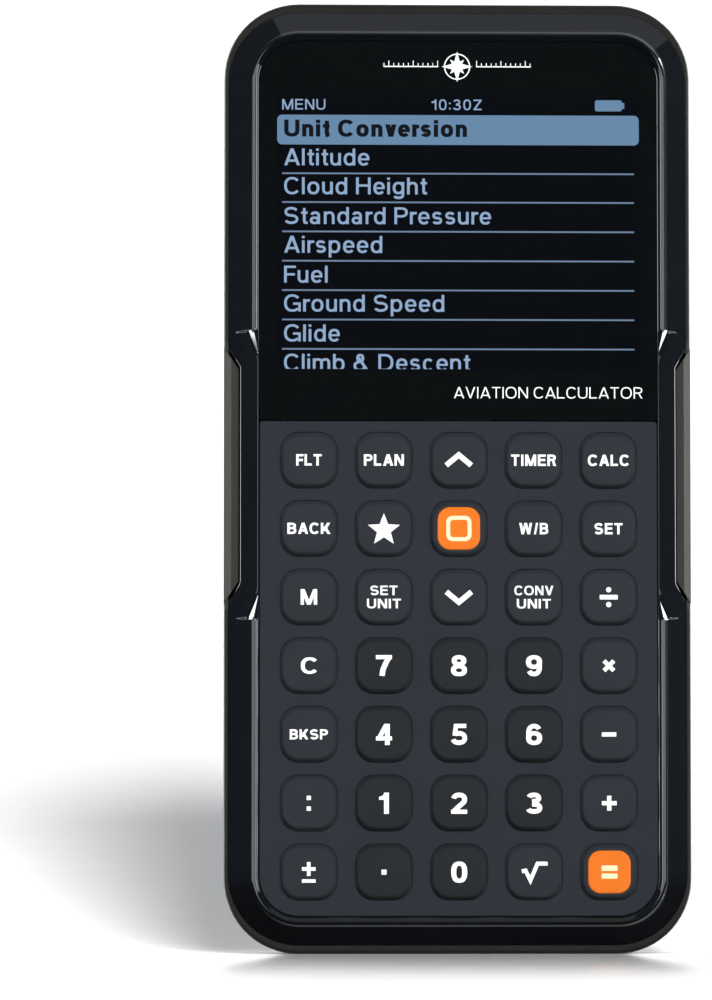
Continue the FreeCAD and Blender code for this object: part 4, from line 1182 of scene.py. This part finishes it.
for k, (cx, cz, top) in KEYS.items():
    v, f = legend(k)
    orange = k in ("select", "equals")
    y0 = -9.66 if orange else top
    v = [(x + cx, y + y0 - 0.004 + (0 if orange else crown(x, z)), z + cz) for x, y, z in v]
    make("legend_" + k, v, f, M["cream"] if orange else M["white"], "key_" + k, sharp=30)


# ---------------------------------------------------------------- what the display shows

FACE = -8.5
SCALE = 5.685
X0, Z0 = 459.5, 478.3


def fx(px):
    return (px - X0) / SCALE


def fz(py):
    return 84.0 - (py - Z0) / SCALE


def on_face(part, lift=0.012):
    v, f = part
    return [(x, y + FACE - lift, z) for x, y, z in v], f


rows = ["Unit Conversion", "Altitude", "Cloud Height", "Standard Pressure", "Airspeed", "Fuel",
        "Ground Speed", "Glide", "Climb & Descent"]
ROW_TOP = [121, 150, 179, 209, 238, 268, 297, 327, 356.5]
CAP = 17.0 / SCALE
ROW_STRETCH = 1.0
lit = []
for i, label in enumerate(rows):
    g = text(label, CAP, 0.245 if i == 0 else 0.158, 0.145 if i == 0 else 0.165, 0.36, 1.05 if i == 0 else ROW_STRETCH)
    base = fz(ROW_TOP[i] + 17.0)
    g = moved(g, fx(285), base)
    if i == 0:
        make("screen_title", *on_face(g, 0.045), M["px_dark"], "case", sharp=30)
        continue
    if i == len(rows) - 1:
        # the last row runs under the edge of the picture
        cut = fz(371.5)
        v, f = g
        bm = bmesh.new()
        vs = [bm.verts.new(p) for p in v]
        for face in f:
            try:
                bm.faces.new([vs[a] for a in face])
            except ValueError:
                pass
        bmesh.ops.bisect_plane(bm, geom=bm.verts[:] + bm.edges[:] + bm.faces[:], plane_co=(0, 0, cut),
                               plane_no=(0, 0, -1), clear_outer=True)
        bm.verts.index_update()
        g = [tuple(p.co) for p in bm.verts], [tuple(q.index for q in p.verts) for p in bm.faces]
        bm.free()
    lit.append(g)
make("screen_rows", *on_face(join(*lit)), M["px_blue"], "case", sharp=30)
lines = [bar(fx(283), fz(y + 0.8), fx(636), fz(y - 0.8), 0.02) for y in (175, 204, 233.5, 263, 292.5, 322, 351.5)]
make("screen_lines", *on_face(join(*lines)), M["px_line"], "case", sharp=30)
hb = [(x, z) for x, _, z in rr((fx(278) + fx(641)) / 2, (fz(116) + fz(146)) / 2, (fx(641) - fx(278)) / 2,
                               (fz(116) - fz(146)) / 2, 5 / SCALE, 0, arc=6, side=2)]
make("screen_bar", *on_face(poly(hb)), M["px_bar"], "case", sharp=30)
status = [moved(text("MENU", 10.6 / SCALE, 0.15, 0.2), fx(283), fz(110.8)),
          moved(text("10:30Z", 10.6 / SCALE, 0.15, 0.24, align="CENTER"), fx(458), fz(110.8))]
make("screen_status", *on_face(join(*status)), M["px_blue"], "case", sharp=30)
batt = [poly([(x, z) for x, _, z in rr((fx(597) + fx(624)) / 2, fz(106), (fx(624) - fx(597)) / 2, 5.6 / SCALE, 2 / SCALE, 0, arc=4, side=1)]),
        bar(fx(624), fz(109), fx(626.5), fz(103))]
make("screen_battery", *on_face(join(*batt)), M["px_bar"], "case", sharp=30)

# name line and emblem printed on the window
make("window_name", *on_face(scaled_to(text("AVIATION CALCULATOR", 2.0, 0.115, 0.17), (644 - 455) / SCALE, 11.6 / SCALE,
                                       fx(549.5), fz(395.0))), M["print"], "case", sharp=30)


def emblem():
    """A compass rose on a graduated scale."""
    parts = []
    cx, cz = fx(458.5), fz(67)
    parts.append(centred(poly(star_points(15.5 / SCALE, 4.6 / SCALE, 4, 90)), cx, cz))
    parts.append(moved(centred(poly(star_points(10.0 / SCALE, 3.8 / SCALE, 4, 45)), cx, cz), dy=0.004))
    n = 48
    for ro, ri in ((13.2, 12.0),):
        out = [(ro / SCALE * math.cos(2 * math.pi * i / n), ro / SCALE * math.sin(2 * math.pi * i / n)) for i in range(n)]
        inn = [(ri / SCALE * math.cos(2 * math.pi * i / n), ri / SCALE * math.sin(2 * math.pi * i / n)) for i in range(n)]
        parts.append(moved(strip(out, inn, closed=True), cx, cz, 0.002))
    for side in (-1, 1):
        x0, x1 = 19.0 / SCALE, 74.0 / SCALE
        a, b = cx + side * x0, cx + side * x1
        parts.append(bar(min(a, b), cz - 0.10, max(a, b), cz + 0.10))
        for i in range(12):
            x = cx + side * lerp(x0 + 0.1, x1 - 0.1, i / 11)
            tall = 1.05 if i % 5 == 0 else 0.62
            parts.append(moved(bar(x - 0.07, cz + 0.05, x + 0.07, cz + tall), dy=-0.002))
    return join(*parts)


make("window_emblem", *on_face(emblem()), M["print"], "case", sharp=30)


# ---------------------------------------------------------------- camera

cam_data = bpy.data.cameras.new("camera")
cam = link(bpy.data.objects.new("camera", cam_data))
cam.location = (-42.3 * MM, -897.5 * MM, 32 * MM)
aim = Vector((-17.8 * MM, 0, 80.15 * MM))
cam.rotation_euler = (aim - cam.location).to_track_quat("-Z", "Y").to_euler()
cam_data.lens = 182.5
cam_data.sensor_width = 36
cam_data.clip_start, cam_data.clip_end = 0.01, 50
bpy.context.scene.camera = cam


# ---------------------------------------------------------------- stage

def sweep():
    """White paper: flat under the object, rising gently behind it."""
    def height(y):
        if y < 14:
            return 0.0
        s = 0.24
        run = 90.0
        if y < 14 + run:
            return s * (y - 14) ** 2 / (2 * run)
        return s * run / 2 + s * (y - 14 - run)
    ys = [-2500, -1200, -500, -200, -60, 0, 14] + [14 + 10 * i for i in range(1, 12)] + [160, 240, 400, 700, 1200, 2400, 4000]
    xs = [-3000, -1000, -300, -100, 0, 100, 300, 1000, 3000]
    verts = [(x, y, height(y) - 0.02) for y in ys for x in xs]
    n = len(xs)
    faces = [(j * n + i, j * n + i + 1, (j + 1) * n + i + 1, (j + 1) * n + i) for j in range(len(ys) - 1) for i in range(n - 1)]
    me = bpy.data.meshes.new("sweep")
    me.from_pydata([(x * MM, y * MM, z * MM) for x, y, z in verts], [], faces)
    for p in me.polygons:
        p.use_smooth = True
    obj = link(bpy.data.objects.new("sweep", me))
    m = Nodes("white_paper")
    m.to("Base Color", m.ramp(m.noise(40.0, 3.0, 0.5, seed=80.0), [(0.3, grey(0.90)), (0.7, grey(0.93))]))
    m.set(Roughness=0.85, Specular_IOR_Level=0.1)
    pos = m.position()
    near = m.nt.nodes.new("ShaderNodeMapRange")
    near.interpolation_type = "SMOOTHSTEP"
    m.nt.links.new(pos["Y"], near.inputs["Value"])
    for socket, v in (("From Min", 0.03), ("From Max", -0.01), ("To Min", 0.0), ("To Max", 1.0)):
        near.inputs[socket].default_value = v
    ahead = m.nt.nodes.new("ShaderNodeMapRange")
    ahead.interpolation_type = "SMOOTHSTEP"
    m.nt.links.new(pos["Y"], ahead.inputs["Value"])
    for socket, v in (("From Min", -0.20), ("From Max", 0.0), ("To Min", 0.0), ("To Max", 1.0)):
        ahead.inputs[socket].default_value = v
    # the paper under the object is satin, the sweep round it matt
    beside = m.nt.nodes.new("ShaderNodeMapRange")
    beside.interpolation_type = "SMOOTHSTEP"
    m.nt.links.new(m.math("ABSOLUTE", pos["X"]), beside.inputs["Value"])
    for socket, v in (("From Min", 0.085), ("From Max", 0.040), ("To Min", 0.0), ("To Max", 1.0)):
        beside.inputs[socket].default_value = v
    satin = m.math("MULTIPLY", near.outputs["Result"], ahead.outputs["Result"])
    satin = m.math("MULTIPLY", satin, beside.outputs["Result"])
    m.to("Roughness", m.math("SUBTRACT", 0.80, m.math("MULTIPLY", satin, 0.70)))
    m.to("Specular IOR Level", m.math("ADD", 0.05, m.math("MULTIPLY", satin, 0.95)))
    me.materials.append(m.mat)
    obj.visible_glossy = False
    return obj


sweep()


def area(name, at, look, sx, sy, power, colour=(1, 1, 1), diffuse=True, glossy=True):
    d = bpy.data.lights.new(name, "AREA")
    d.shape = "RECTANGLE"
    d.size, d.size_y = sx, sy
    d.energy = power
    d.color = colour
    o = link(bpy.data.objects.new(name, d))
    o.location = at
    o.rotation_euler = (Vector(look) - Vector(at)).to_track_quat("-Z", "Y").to_euler()
    o.visible_camera = False
    o.visible_diffuse = diffuse
    o.visible_glossy = glossy
    return o


C = (0, 0, 0.084)


def sun(name, azimuth, elevation, strength, spread, colour=(1, 1, 1)):
    d = bpy.data.lights.new(name, "SUN")
    d.energy = strength
    d.angle = math.radians(spread)
    d.color = colour
    o = link(bpy.data.objects.new(name, d))
    a, e = math.radians(azimuth), math.radians(elevation)
    back = Vector((math.sin(a) * math.cos(e), -math.cos(a) * math.cos(e), math.sin(e)))
    o.location = back * 2
    o.rotation_euler = (-back).to_track_quat("-Z", "Y").to_euler()
    o.visible_glossy = False
    return o


sun("key", 15, 34, 4.2, 22, (1.0, 0.99, 0.975))
sun("high_back", 190, 62, 0.9, 30, (1.0, 1.0, 1.0))
area("overhead", (0.25, 0.0, 1.0), (0.1, 0, 0), 1.1, 1.2, 0.95, (1.0, 1.0, 0.99), diffuse=False)
for side, name in ((-1, "left"), (1, "right")):
    a = math.radians(37)
    area("box_" + name, (side * 1.2 * math.sin(a), -1.2 * math.cos(a), 0.16), C, 1.05, 0.55, 5.6,
         (0.96, 0.98, 1.0), diffuse=False)
    a = math.radians(79)
    area("edge_" + name, (side * 1.2 * math.sin(a), -1.2 * math.cos(a), 0.14), C, 0.10, 0.55, 0.9,
         (0.96, 0.98, 1.0), diffuse=False)
    area("back_" + name, (side * 0.75, 0.45, 0.14), C, 0.5, 1.1, 21, (1, 1, 1), diffuse=False)

world = bpy.data.worlds.new("studio")
bpy.context.scene.world = world
world.use_nodes = True
wt = world.node_tree
bg = wt.nodes["Background"]


def wmix(fac, a, b):
    n = wt.nodes.new("ShaderNodeMix")
    n.data_type = "RGBA"
    wt.links.new(fac, n.inputs[0])
    for i, v in ((6, a), (7, b)):
        if isinstance(v, tuple):
            n.inputs[i].default_value = v
        else:
            wt.links.new(v, n.inputs[i])
    return n.outputs[2]


def wstep(value, lo, hi):
    n = wt.nodes.new("ShaderNodeMapRange")
    n.interpolation_type = "SMOOTHSTEP"
    wt.links.new(value, n.inputs["Value"])
    n.inputs["From Min"].default_value = lo
    n.inputs["From Max"].default_value = hi
    return n.outputs["Result"]


way = wt.nodes.new("ShaderNodeSeparateXYZ")
wt.links.new(wt.nodes.new("ShaderNodeTexCoord").outputs["Generated"], way.inputs[0])
path = wt.nodes.new("ShaderNodeLightPath")
# what polished faces see: a dark room, darker still below, and the bright paper far behind
room = wmix(wstep(way.outputs["Z"], -0.25, 0.02), (0.005, 0.005, 0.005, 1), (0.033, 0.047, 0.068, 1))
room = wmix(wstep(way.outputs["Y"], 0.18, 0.30), room, (1.1, 1.1, 1.1, 1))
light = wmix(path.outputs["Is Glossy Ray"], (0.22, 0.228, 0.242, 1), room)
light = wmix(path.outputs["Is Camera Ray"], light, (1.0, 1.0, 1.0, 1))
wt.links.new(light, bg.inputs["Color"])
bg.inputs["Strength"].default_value = 1.0

bpy.context.scene.view_settings.view_transform = "Standard"
bpy.context.scene.view_settings.look = "None"
